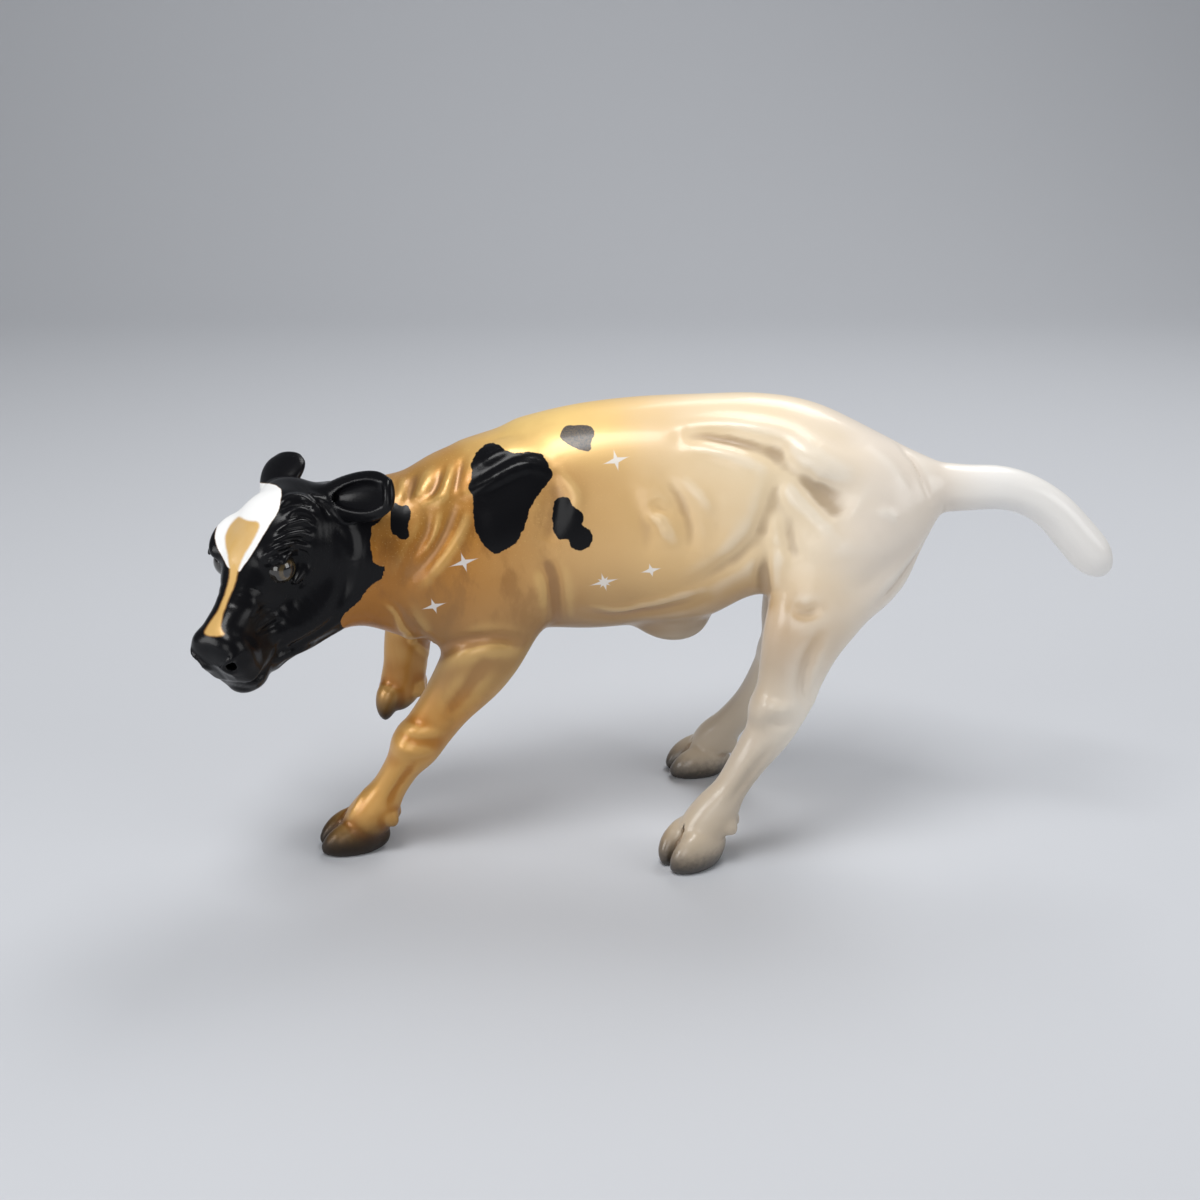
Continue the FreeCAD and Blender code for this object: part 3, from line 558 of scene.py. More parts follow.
def lay_hooves(clay):
    """The claws and dewclaws of the four hooves."""
    hoof(clay, np.array([-63.9, -8.8, 0.0]), (-1.0, -0.25, 0.0), (0, 0, 1), 5.9, 8.0)
    hoof(clay, np.array([8.9, -15.4, 0.0]), (-1.0, -0.62, 0.0), (0, 0, 1), 4.9, 9.6)
    hoof(clay, np.array([12.6, 25.6, 0.0]), (-1.0, -0.20, 0.0), (0, 0, 1), 5.8, 8.0)
    hoof(clay, np.array([-55.9, 12.0, 25.8]), (-0.55, 0.0, -1.0), (-1.0, 0, 0.55), 4.4, 5.2, 0.8)
    dewclaws(clay, (-55.5, -10.4, 8.6), (0, 1, 0), (0.4, 0, -1))
    dewclaws(clay, (16.9, -15.2, 9.4), (0.2, 1, 0), (0.3, 0, -1))
    dewclaws(clay, (19.8, 24.4, 8.0), (0, 1, 0), (0.3, 0, -1))
    dewclaws(clay, (-51.2, 12.0, 28.8), (0, 1, 0), (0.1, 0, -1))


def lay_muscles(clay):
    """Shoulders, thighs, hip bones, spine and chest over the barrel."""
    for side, middle in ((-1, 0.5), (1, 1.5)):
        clay.add(egg((-33.0, middle + side * 8.0, 70.5), (19.0, 6.4, 10.5),
                     (0.48, 0, 1.0), (-1, 0, 0.4)), 5.0)
        clay.add(egg((-35.5, middle + side * 9.6, 58.0), (11.0, 5.8, 9.0), (0.9, 0, 0.5)), 5.0)
        clay.add(egg((38.5, middle + side * 8.2, 71.0), (15.5, 7.0, 11.5),
                     (0.25, 0, 1.0), (-1, 0, 0.25)), 5.0)
        clay.add(egg((44.6, middle - 1.5 + side * 6.0, 68.0), (12.5, 6.0, 7.8),
                     (0.1, 0, 1.0), (-1, 0, 0.1)), 4.0)
        clay.add(egg((31.5, middle - 0.5 + side * 9.8, 86.0), (6.5, 3.4, 3.4),
                     (1.0, 0, -0.35)), 4.0)
        clay.add(egg((-47.0, middle - 4.5 + side * 8.0, 58.0), (7.0, 4.6, 7.0),
                     (0.6, 0.15, -0.5)), 4.0)
    clay.add(limb(SPINE), 4.0)
    clay.add(egg((-48.5, -4.5, 55.5), (8.5, 6.5, 6.0), (1, 0.3, -0.25)), 5.0)
    clay.add(egg((4.0, 2.6, 49.6), (8.0, 4.8, 5.6), (1, 0, -0.12)), 5.0)
    clay.add(egg((-14.0, 2.0, 55.0), (12.0, 8.0, 5.6)), 5.0)


def model_side(clay):
    """Grooves and ridges drawn over the photograph on the near side, some mirrored to the far."""
    both_sides = [
        # hollow under the loin that runs back between pelvis and thigh, and its two edges
        ([(682, 437), (700, 436), (722, 439), (748, 444), (768, 451), (786, 460), (800, 471)],
         2.2, -1.05),
        ([(784, 460), (802, 475), (816, 490), (828, 506), (836, 522)], 3.2, -1.2),
        ([(818, 482), (840, 496), (858, 506)], 3.6, -0.7),
        ([(688, 426), (720, 423), (756, 427), (790, 435), (816, 447)], 2.3, 0.7),
        ([(692, 447), (714, 451), (734, 457), (756, 467)], 1.8, 0.75),
        # crest along the thigh's front, the hollow before it and the bulge behind
        ([(784, 483), (798, 497), (812, 511), (826, 526), (842, 541)], 2.3, 0.85),
        ([(780, 494), (784, 516), (790, 540), (798, 560)], 1.9, -0.45),
        ([(812, 536), (834, 548), (858, 546), (880, 534)], 3.4, 0.5),
        ([(846, 594), (868, 583), (888, 570), (906, 556), (920, 540)], 3.0, -0.6),
        # fold between flank and thigh, and the stifle's own fold
        ([(781, 472), (773, 497), (767, 518), (758, 538), (742, 555), (720, 570), (696, 584)],
         2.3, -1.2),
        ([(768, 538), (764, 560), (764, 582), (769, 600)], 1.8, -0.6),
        ([(780, 548), (777, 568), (779, 592)], 2.2, 0.5),
        ([(792, 608), (806, 613), (822, 607)], 1.6, -0.7),
        # ribs
        ([(646, 486), (656, 506), (664, 526), (668, 550)], 3.0, 0.45),
        ([(652, 517), (660, 520), (666, 530), (672, 539)], 1.1, 0.75),
        ([(654, 498), (660, 508), (674, 512)], 1.6, -0.45),
        ([(664, 480), (680, 502), (690, 528), (690, 552)], 1.8, -0.5),
        ([(682, 476), (696, 490), (706, 502), (714, 514)], 1.5, 0.5),
        ([(700, 492), (712, 510), (716, 532), (710, 552)], 2.2, -0.3),
        ([(628, 488), (640, 510), (646, 536), (644, 560)], 2.2, -0.28),
        # edge of the belly
        ([(700, 590), (672, 598), (646, 604), (620, 609), (592, 606)], 1.3, 0.55),
        ([(704, 598), (674, 607), (644, 612), (616, 616), (586, 612)], 1.9, -0.7),
        # groove behind the shoulder and the elbow
        ([(556, 462), (566, 478), (576, 494), (574, 512)], 1.6, 0.5),
        ([(548, 484), (556, 500), (552, 522), (546, 542)], 2.4, -0.7),
        ([(546, 560), (553, 578), (556, 600), (558, 622)], 1.6, -1.25),
        ([(536, 566), (542, 586), (546, 608)], 2.2, 0.5),
        # groove where the neck meets the shoulder
        ([(458, 504), (450, 524), (438, 545), (424, 562), (408, 580)], 1.9, -1.3),
        ([(466, 510), (456, 534), (442, 556), (430, 576)], 2.2, 0.6),
        ([(430, 512), (427, 532), (416, 552), (406, 572)], 1.4, -0.8),
        ([(440, 520), (434, 538), (424, 553), (414, 566)], 1.3, 0.6),
    ]
    near_side_lines = [
        # spine of the shoulder blade, seen in the big patch
        ([(468, 493), (484, 485), (500, 476), (516, 468), (532, 465), (550, 471)], 1.4, 1.2),
        ([(476, 503), (498, 492), (524, 482), (548, 486)], 2.4, -0.35),
        ([(482, 464), (494, 456), (508, 449)], 1.2, 0.4),
        ([(474, 478), (492, 468), (512, 458), (536, 455)], 1.6, -0.3),
        # brisket and the fold where the arm begins
        ([(386, 604), (396, 613), (404, 630), (418, 645), (430, 656)], 0.9, 0.6),
        ([(396, 604), (408, 622), (420, 636), (434, 648)], 1.5, -0.7),
        ([(430, 657), (450, 646), (472, 640), (498, 638), (522, 641)], 1.5, -0.75),
        ([(440, 668), (466, 656), (492, 650), (514, 650)], 2.0, 0.4),
        ([(484, 664), (468, 688), (446, 714)], 1.5, -0.35),
        # knee, and the tendons below it
        ([(400, 724), (418, 731), (440, 733)], 1.3, 0.40),
        ([(404, 736), (418, 741), (436, 744)], 1.2, -0.20),
        ([(396, 746), (412, 752), (430, 752)], 1.1, 0.35),
        ([(414, 764), (398, 786), (388, 804)], 0.9, -0.45),
        ([(364, 790), (356, 806), (348, 820)], 0.8, 0.4),
        # hock and cannon of the near hind leg
        ([(812, 712), (804, 690), (808, 664), (820, 636)], 1.5, -0.6),
        ([(762, 703), (776, 709), (792, 707)], 1.5, 0.55),
        ([(768, 722), (782, 726), (796, 722)], 1.2, -0.3),
        ([(772, 748), (750, 776), (730, 804)], 0.9, -0.4),
        ([(762, 742), (740, 772), (716, 806)], 1.0, 0.25),
        # far ham behind the near one, and the crease round the tail's root
        ([(880, 602), (898, 584), (914, 562), (926, 540)], 1.3, -0.9),
        ([(900, 446), (918, 470), (930, 500)], 0.9, -0.4),
        ([(866, 446), (890, 466), (908, 492)], 2.0, 0.35),
        ([(876, 512), (888, 514), (896, 522)], 1.2, 0.35),
        # folds of skin over the neck's top and the withers
        ([(452, 470), (446, 488), (438, 502)], 1.1, 0.7),
        ([(442, 468), (437, 484), (430, 498)], 1.0, -0.55),
        ([(430, 470), (424, 484), (416, 498)], 1.1, 0.5),
        ([(416, 472), (412, 486), (408, 500)], 1.0, -0.45),
        ([(404, 476), (402, 490), (400, 502)], 1.0, 0.4),
        ([(464, 458), (458, 474), (454, 492)], 1.1, -0.5),
        ([(420, 508), (436, 500), (452, 496)], 1.0, 0.4),
        ([(476, 446), (500, 438), (526, 434)], 1.6, -0.3),
    ]
    for points, width, height in [clay.drawn(*line) for line in both_sides]:
        clay.stroke(points, width, height)
        other = points.copy()
        other[:, 1] = 2 * BARREL_MIDDLE - other[:, 1]
        if other[:, 1].min() > BARREL_MIDDLE + 5:
            clay.stroke(other, width, height)
    for points, width, height in [clay.drawn(*line) for line in near_side_lines]:
        clay.stroke(points, width, height)


def comb_switch(clay):
    """The hair of the tail's switch, combed in grooves round it."""
    for turn in range(SWITCH_GROOVES):
        angle = turn * math.tau / SWITCH_GROOVES
        aside = SWITCH_RADIUS * math.cos(angle)
        out = SWITCH_RADIUS * math.sin(angle)
        clay.stroke([(85.0 + out * 0.7, TAIL_MIDDLE + aside, 70.6 + out * 0.7),
                     (89.2 + out * 0.6, TAIL_MIDDLE + aside, 66.2 + out * 0.6),
                     (91.2 + out * 0.3, TAIL_MIDDLE + aside * 0.6, 63.2 + out * 0.3)], 0.6, -0.32)


# Head: along the face, top, foot and half width, all below the crown

HEAD = [
    (-3.0, 6.5, 12.0, 3.4),
    (-0.5, 3.2, 17.0, 5.6),
    (3.0, 0.2, 21.0, 7.0),
    (8.0, -2.0, 24.5, 8.5),
    (13.5, -2.4, 26.0, 9.2),
    (17.5, -1.8, 26.0, 8.8),
    (21.0, -0.3, 25.0, 7.1),
    (24.7, 1.2, 22.8, 5.8),
    (28.3, 1.9, 20.6, 5.4),
    (32.0, 2.0, 19.4, 5.6),
    (35.0, 2.6, 18.6, 5.7),
    (37.0, 4.4, 16.6, 4.9),
    (38.2, 7.4, 13.2, 2.9),
]
HEAD_LINE_DEPTH = 1.45      # the head's drawn lines are this much bolder than written
EYE_ALONG = 17.0
EYE_LEFT = 5.9
EYE_DOWN = 4.2
EYE_RADIUS = 3.1

# The head's two sides: places along the face, out from its middle and below the crown

LOWER_JAW = [
    (6.0, 6.2, 20.0, 3.4, 2.8),
    (14.0, 6.0, 21.6, 2.8, 2.4),
    (22.0, 4.4, 20.4, 2.2, 2.0),
    (29.0, 3.0, 18.6, 1.9, 1.8),
]
EYELIDS = [
    # place out from the middle, half length and half height, the arc in degrees, width and height
    (9.0, 3.9, 2.9, -25, 205, 0.8, 1.0),
    (8.8, 3.8, 2.9, 190, 350, 0.7, 0.7),
    (9.0, 5.1, 4.1, 20, 165, 0.55, -0.45),
    (8.8, 5.1, 4.3, 200, 330, 0.6, -0.35),
]
NOSE_WRINKLE = [(28.4, 1.2, 1.4), (27.0, 4.4, 3.4), (26.6, 5.8, 6.2)]
FACE_LINES = [
    # rim of the nostril
    ([(35.4, 5.0, 6.2), (37.4, 4.6, 5.8), (38.4, 2.8, 6.8), (38.2, 2.2, 8.8), (37.0, 3.8, 10.0)],
     0.7, 0.8),
    # mouth, the lip behind its corner and the chin
    ([(38.2, 0.4, 13.8), (36.8, 3.4, 14.2), (34.0, 5.6, 14.8), (30.4, 6.2, 15.2),
      (27.4, 6.2, 14.6)], 0.75, -1.2),
    ([(28.4, 6.0, 17.0), (25.8, 6.4, 15.8), (24.8, 6.4, 13.0)], 0.7, 0.4),
    ([(31.0, 4.8, 19.2), (27.4, 5.2, 20.0), (24.4, 6.0, 20.6)], 0.8, -0.5),
    # wrinkles over the nose
    *[([(along - back, out, down) for along, out, down in NOSE_WRINKLE], 0.5, -0.16)
      for back in (0.0, 2.0, 4.0)],
    # cheek and the edge of the jaw
    ([(21.2, 7.6, 7.0), (23.4, 6.8, 11.0), (23.6, 7.2, 15.0)], 1.0, 0.4),
    ([(1.5, 8.0, 8.0), (3.0, 9.4, 14.0), (5.5, 10.0, 21.5)], 1.4, -0.5),
]


def lay_head(clay):
    """Skull, cheeks, muzzle, eye sockets, nostrils and mouth."""
    clay.add(skull(HEAD), 2.0)
    lay_neck(clay)
    clay.add(egg(on_head(0.5, 0, 2.6), (3.4, 5.0, 2.4), FORWARD, CROWN), 2.5)
    clay.add(egg(on_head(34.2, 0, 16.8), (3.9, 4.2, 2.8), FORWARD, CROWN), 1.6)
    for side in (-1, 1):
        clay.add(egg(on_head(10.0, 6.8 * side, 16.0), (9.0, 3.8, 9.0), FORWARD, CROWN), 2.5)
        clay.add(egg(on_head(14.0, 6.4 * side, 0.4), (4.8, 2.6, 2.2), FORWARD, CROWN), 2.5)
        clay.add(egg(on_head(34.4, 3.0 * side, 8.0), (3.3, 3.2, 4.6), FORWARD, CROWN), 1.6)
        clay.carve(egg(on_head(EYE_ALONG, 9.8 * side, EYE_DOWN), (3.9, 2.1, 3.2),
                       FORWARD, CROWN), 1.2)
        clay.carve(egg(on_head(25.0, 7.8 * side, 7.5), (5.6, 2.1, 4.0), FORWARD, CROWN), 2.6)
        clay.carve(egg(on_head(36.9, 3.1 * side, 7.6), (2.1, 1.1, 1.7),
                       FORWARD * 0.8 + LEFT * 0.45 * side + CROWN * 0.25, CROWN), 0.6)
    for side in (-1, 1):
        clay.add(limb([(*on_head(along, out * side, down), deep, wide)
                       for along, out, down, deep, wide in LOWER_JAW], LEFT), 2.6)


def round_eye(out, wide, tall, start, end, side, count=9):
    """Places on an oval about the eye on one side of the head."""
    return [on_head(EYE_ALONG + wide * math.cos(turn), out * side, EYE_DOWN - tall * math.sin(turn))
            for turn in np.linspace(math.radians(start), math.radians(end), count)]


def model_head(clay):
    """Eyelids, wrinkles, nostril rims, mouth and jaw lines."""
    for side in (-1, 1):
        for *arc, width, height in EYELIDS:
            clay.stroke(round_eye(*arc, side), width, height)
        for rows, width, height in FACE_LINES:
            clay.stroke([on_head(along, out * side, down) for along, out, down in rows],
                        width, height)
    clay.stroke([on_head(38.6, 0, 7.8), on_head(38.8, 0, 10.6), on_head(38.6, 0, 13.6)], 0.5, -0.5)
    lines = [
        # folds over the near eye
        ([(265, 561), (278, 553), (294, 550), (306, 554)], 0.55, -0.5),
        ([(266, 555), (279, 548), (295, 545), (308, 549)], 0.6, 0.45),
        ([(268, 549), (281, 542), (297, 539), (308, 542)], 0.5, -0.45),
        ([(272, 543), (285, 536), (300, 533), (310, 536)], 0.6, 0.4),
        ([(276, 537), (288, 530), (302, 527), (312, 530)], 0.5, -0.4),
        ([(278, 530), (290, 524), (304, 521), (314, 524)], 0.6, 0.35),
        # curly hair of the temple
        ([(280, 503), (290, 497), (302, 497), (312, 503)], 0.7, 0.5),
        ([(282, 509), (292, 504), (303, 504), (310, 509)], 0.55, -0.5),
        ([(286, 515), (296, 510), (306, 511), (313, 517)], 0.7, 0.5),
        ([(290, 521), (300, 516), (309, 518), (315, 524)], 0.55, -0.4),
        ([(316, 500), (324, 506), (328, 516)], 0.7, -0.4),
        ([(312, 494), (322, 499), (330, 508)], 0.7, 0.4),
        # jaw, cheek and throat
        ([(276, 661), (300, 650), (322, 640), (344, 626)], 1.0, 0.5),
        ([(278, 652), (300, 643), (320, 631), (336, 618)], 0.9, -0.6),
        ([(290, 663), (312, 655), (332, 645)], 0.7, -0.3),
        ([(336, 540), (346, 566), (342, 594), (330, 616)], 1.5, -0.45),
        ([(340, 512), (350, 536), (356, 560)], 1.4, -0.4),
        # muzzle and the fold behind the mouth's corner
        ([(258, 628), (268, 620), (276, 616)], 0.7, 0.4),
        ([(258, 634), (270, 627), (280, 622)], 0.6, -0.4),
        ([(252, 618), (262, 610), (272, 606)], 0.6, -0.25),
        ([(222, 596), (232, 604), (246, 606)], 1.2, -0.2),
        ([(240, 586), (252, 600), (258, 616)], 1.4, 0.3),
    ]
    for pixels, width, height in lines:
        clay.stroke(*clay.drawn(pixels, width, height * HEAD_LINE_DEPTH))


NEAR_EAR_BASE = on_head(0.4, 6.6, 4.4)
FAR_EAR_BASE = on_head(0.4, -4.6, 4.6)
EARS = {
    "ear_left": (NEAR_EAR_BASE, NEAR_EAR_BASE + LEFT * 18.4 + LIFT * 2.4 - LOOK * 4.5),
    "ear_right": (FAR_EAR_BASE, on_head(-10.4, -5.8, 4.6)),
}
EAR_REACH = 6.5         # all of an ear lies this near to the line from its base to its tip
EAR_PIECE_START = 2.4
EAR_PAINT_START = 1.5

# An ear and its hollow: shares of its length, half thickness, and share of its half width

PADDLE = [(0.10, 2.4, 0.62), (0.34, 2.1, 0.88), (0.58, 1.8, 1.0), (0.78, 1.5, 0.94),
          (0.92, 1.2, 0.66)]
HOLLOW = [(0.42, 1.0, 0.46), (0.64, 1.0, 0.56), (0.82, 0.6, 0.40)]


def lay_ear(clay, name, across, front, wide):
    """A paddle on a short stem, hollowed on its front."""
    base, tip = EARS[name]
    way = tip - base
    paddle = [(-0.10, 2.4, 2.4)] + [(share, deep, wide * broad) for share, deep, broad in PADDLE]
    hollow = [(0.22, 0.5, 0.9)] + [(share, deep, wide * broad) for share, deep, broad in HOLLOW]
    clay.add(limb([(*(base + way * share), *size) for share, *size in paddle], across), 1.4)
    clay.carve(limb([(*(base + way * share + front * 1.5), *size) for share, *size in hollow],
                    across), 0.8)


def on_ear(places, name, start):
    """Which places lie on an ear, further out from its base than a start."""
    base, tip = EARS[name]
    way = unit(tip - base)
    along = (places - base) @ way
    off = np.linalg.norm(places - base - along[:, None] * way, axis=1)
    return (along > start) & (off < EAR_REACH)


def ahead_of(places, joint, way):
    """Distances ahead of a flat joint that faces a way."""
    return (places - joint) @ unit(way)


def outline_distance(points, outline):
    """Distances to a closed outline on a plane, negative inside it."""
    outline = np.array(outline, float)
    best = np.full(len(points), 1e12)
    inside = np.zeros(len(points), bool)
    for start, end in zip(outline, np.roll(outline, -1, axis=0)):
        way = end - start
        away = points - start
        t = np.clip((away @ way) / (way @ way + 1e-12), 0, 1)
        best = np.minimum(best, ((away - t[:, None] * way) ** 2).sum(1))
        spans = (start[1] > points[:, 1]) != (end[1] > points[:, 1])
        rise = np.where(abs(end[1] - start[1]) < 1e-12, 1e-12, end[1] - start[1])
        inside ^= spans & (points[:, 0] < start[0] + (points[:, 1] - start[1]) * way[0] / rise)
    return np.where(inside, -1, 1) * np.sqrt(best)


# Model the clay

body = Clay((-82, -26, -1.0), (96, 36, 101), BODY_STEP)
body.add(turned_barrel(TRUNK), 2.0)
lay_muscles(body)
lay_neck(body)
body.add(limb(TAIL), 3.0)
lay_legs(body)
body.soften(0.8)
lay_hooves(body)
model_side(body)
comb_switch(body)
# the hooves are cut flat where they stand
body.field = np.maximum(body.field, -body.axes[2][None, None, :])

head = Clay((-92, -46, 44), (-44, 10, 96), HEAD_STEP)
head.add(turned_barrel(TRUNK), 2.0)
lay_muscles(head)
lay_head(head)
model_head(head)
lay_ear(head, "ear_left", LIFT, -LOOK, 4.9)
lay_ear(head, "ear_right", LEFT, -CROWN, 4.7)

# Part the skin into the moulded pieces

NECK_JOINT = np.array([-57.6, -9.0, 68.5])
NECK_WAY = unit((-0.898, -0.363, 0.250))
NECK_LAP = 0.15         # how far the body's clay and the head's run past the neck joint
LEGS_BELOW = 50         # below this height the body's clay is used ahead of the neck joint too
HEAD_CLAY_END = -44.6   # the head's clay is used ahead of here
TAIL_ROOT_X = 58.0
TAIL_ABOVE = 56
LEG_JOINTS = [
    ("foreleg_left", NEAR_FORELEG, (-36.0, -12.0, 44.7), (-0.46, 0.02, -0.887)),
    ("hindleg_left", NEAR_HINDLEG, (30.3, -13.8, 48.0), (-0.25, -0.05, -1.0)),
    ("hindleg_right", FAR_HINDLEG, (33.0, 11.0, 50.0), (-0.2, 0.15, -1.0)),
    ("foreleg_right", FAR_FORELEG, (-33.0, 11.0, 50.0), (-0.93, 0.08, -0.35)),
]
LEG_REACH = 15          # all of a leg lies this near to its path
LEG_BELOW = 58          # no leg's own piece reaches above this height
LEG_NECK_GAP = 6        # nor further ahead of the neck joint than this
TRUNK_SEAM = [(-120, -40), (-57.6, -9.0), (-34.5, -1.2), (-5.0, 3.0), (22.2, 2.5), (58.0, -3.0),
              (120, -3.0), (120, -120), (-120, -120)]
SKULL_MIDDLE = on_head(4.5, 0, 9.9)
MUZZLE_END = on_head(60, 0, 10)
HEAD_SEAM = [(-20, 6.0), (-57.6, -9.0), tuple(SKULL_MIDDLE[:2]), tuple(MUZZLE_END[:2]),
             tuple((MUZZLE_END + LEFT * 90)[:2]), (60, -10)]


def body_piece(centres):
    """The name of the moulded piece at each place on the body's skin."""
    on_left = outline_distance(centres[:, :2], TRUNK_SEAM) < 0
    names = np.where(on_left, "trunk_left_shell", "trunk_right_shell")
    x, y, z = centres.T
    names = np.where((x > TAIL_ROOT_X) & (z > TAIL_ABOVE), "tail", names)
    clear_of_neck = ahead_of(centres, NECK_JOINT, NECK_WAY) < LEG_NECK_GAP
    for name, path, joint, way in LEG_JOINTS:
        away2 = np.full(len(centres), FAR * FAR)
        for row in smooth_path(path, 3):
            away2 = np.minimum(away2, ((centres - row[:3]) ** 2).sum(1))
        in_leg = (ahead_of(centres, joint, way) > 0) & (away2 < LEG_REACH ** 2) & (z < LEG_BELOW)
        names = np.where(in_leg & clear_of_neck, name, names)
    return names


def head_piece(centres):
    """The name of the moulded piece at each place on the head's skin."""
    on_left = outline_distance(centres[:, :2], HEAD_SEAM) < 0
    names = np.where(on_left, "head_left_shell", "head_right_shell")
    for name in EARS:
        names = np.where(on_ear(centres, name, EAR_PIECE_START), name, names)
    return names


def used_faces(middles, on_the_head):
    """Which faces are used from the head's clay or the body's: the neck joint parts the two."""
    ahead = ahead_of(middles, NECK_JOINT, NECK_WAY)
    low = middles[:, 2] < LEGS_BELOW
    if on_the_head:
        on_far_knee = low & (middles[:, 1] > 2)
        return (ahead > -NECK_LAP) & ~on_far_knee & (middles[:, 0] < HEAD_CLAY_END)
    return (ahead < NECK_LAP) | low


# Paint outlines, drawn over the photograph in its pixels

SHOULDER_PATCH = [
    (492, 440), (507, 451), (519, 454), (542, 451), (552, 470), (552, 477), (544, 489), (530, 507),
    (528, 518), (519, 541), (496, 557), (487, 548), (476, 534), (472, 516), (475, 500), (467, 489),
    (474, 472), (470, 466), (477, 450),
]
BARREL_PATCH = [
    (562, 494), (570, 498), (573, 506), (584, 513), (584, 521), (580, 526), (590, 529), (594, 537),
    (590, 547), (578, 552), (570, 547), (569, 538), (557, 541), (553, 530), (551, 518), (553, 502),
]
WITHERS_PATCH = [
    (569, 424), (590, 425), (596, 432), (591, 440), (592, 451), (585, 452), (569, 446), (559, 438),
    (562, 429),
]
NECK_PATCH = [
    (388, 504), (394, 502), (400, 506), (408, 504), (411, 515), (408, 525), (410, 536), (404, 540),
    (396, 537), (390, 532), (391, 521), (387, 510),
]
HEAD_EDGE = [
    (300, 380), (398, 440), (404, 462), (396, 486), (373, 513), (374, 521), (369, 538), (372, 555),
    (373, 564), (390, 567), (381, 580), (369, 586), (358, 603), (348, 609), (339, 624), (352, 634),
    (330, 720), (100, 720), (100, 380),
]
BLAZE_WHITE = [
    (250, 482), (262, 483), (274, 484), (282, 489), (281, 500), (278, 513), (268, 527), (255, 550),
    (243, 567), (238, 574), (234, 560), (230, 572), (223, 558), (216, 546), (214, 530), (229, 506),
]
BLAZE_GOLD = [
    (238, 515), (246, 521), (262, 522), (255, 538), (245, 553), (239, 567), (236, 582), (228, 601),
    (222, 616), (221, 628), (227, 637), (201, 636), (210, 622), (219, 609), (227, 588), (230, 572),
    (228, 557), (224, 540), (228, 527),
]
PIXELS_PER_MM = 4.75

# Sparkles: a place in the photograph, and the reach of the long arms in millimetres. One of
# them has four short arms more.

SPARKLES = [(464, 562, 3.5), (434, 606, 3.0), (604, 582, 3.6), (651, 570, 2.5), (616, 460, 3.2)]
EIGHT_ARMED = 2

# The far side's own patches, as places along the body and heights

FAR_SIDE_PATCHES = [
    [(-36, 83), (-31, 86), (-27, 83), (-22, 86), (-17, 81), (-19, 76), (-16, 71), (-22, 69),
     (-24, 63), (-31, 61), (-33, 67), (-39, 70), (-36, 76), (-40, 79)],
    [(5, 84), (9, 88), (13, 85), (19, 88), (24, 83), (20, 79), (22, 74), (16, 71), (12, 75),
     (7, 73), (9, 79)],
    [(-9, 65), (-5, 68), (-2, 65), (2, 66), (1, 60), (-3, 59), (-4, 55), (-9, 57), (-8, 61)],
]


def rounded(outline):
    """An outline with its corners cut twice."""
    outline = np.array(outline, float)
    for _ in range(2):
        ahead = np.roll(outline, -1, axis=0)
        cuts = [0.75 * outline + 0.25 * ahead, 0.25 * outline + 0.75 * ahead]
        outline = np.stack(cuts, axis=1).reshape(-1, 2)
    return outline


def faces_photo(places, normals):
    """Which places turn towards the photograph."""
    return ((PHOTO_EYE - places) * normals).sum(1) > 0


def painted(places, normals, outline):
    """Distances in millimetres to an outline on the side that the photograph shows."""
    away = outline_distance(in_photo(places), rounded(outline)) / PIXELS_PER_MM
    return np.where(faces_photo(places, normals), away, np.maximum(away, 2.0))


def blaze_paint(places, normals, outline):
    """Distances to a part of the blaze, which is the same on the head's two halves."""
    left = (places - POLL) @ LEFT
    mirrored = places - 2 * left[:, None] * LEFT
    turned = normals - 2 * (normals @ LEFT)[:, None] * LEFT
    return np.where(faces_photo(places, normals) | (left > 0), painted(places, normals, outline),
                    painted(mirrored, turned, outline))


def head_black(places, normals):
    """Distances to the head's black, negative inside it, with a wavy edge behind the poll."""
    z = places[:, 2]
    edge_way = -FORWARD * 0.6 - CROWN * 0.35 + np.array([0.5, 0.3, 0])
    behind = ahead_of(places, on_head(-9.0, 0, 12), edge_way)
    behind += 1.6 * np.sin(z * 0.45) + 0.9 * np.sin(z * 1.1 + 1.0)
    black = np.where(faces_photo(places, normals), painted(places, normals, HEAD_EDGE), behind)
    for name in EARS:
        black = np.where(on_ear(places, name, EAR_PAINT_START), -3.0, black)
    return black


def body_black(places, normals):
    """Distances to the black patches on the body's two sides, negative inside them."""
    patches = [painted(places, normals, outline)
               for outline in (SHOULDER_PATCH, BARREL_PATCH, NECK_PATCH)]
    on_far_side = (places[:, 1] > 4) & (normals[:, 1] > 0)
    for outline in FAR_SIDE_PATCHES:
        away = outline_distance(places[:, [0, 2]], rounded(outline))
        patches.append(np.where(on_far_side, away, FAR))
    return np.minimum(reduce(np.minimum, patches), FAR)


def hollow_depth(places, faces, normals, rounds):
    """How deep each place lies in a hollow, from the skin's own bend."""
    ends = np.concatenate([faces[:, [0, 1]], faces[:, [1, 2]], faces[:, [2, 3]], faces[:, [3, 0]]])
    degree = np.bincount(ends[:, 0], minlength=len(places)) + 1e-9
    smooth = places.copy()
    for _ in range(rounds):
        moved = np.stack([np.bincount(ends[:, 0], smooth[ends[:, 1], i], len(places))
                          for i in range(3)], axis=1)
        smooth = 0.5 * smooth + 0.5 * moved / degree[:, None]
    return ((smooth - places) * normals).sum(1)


# Materials


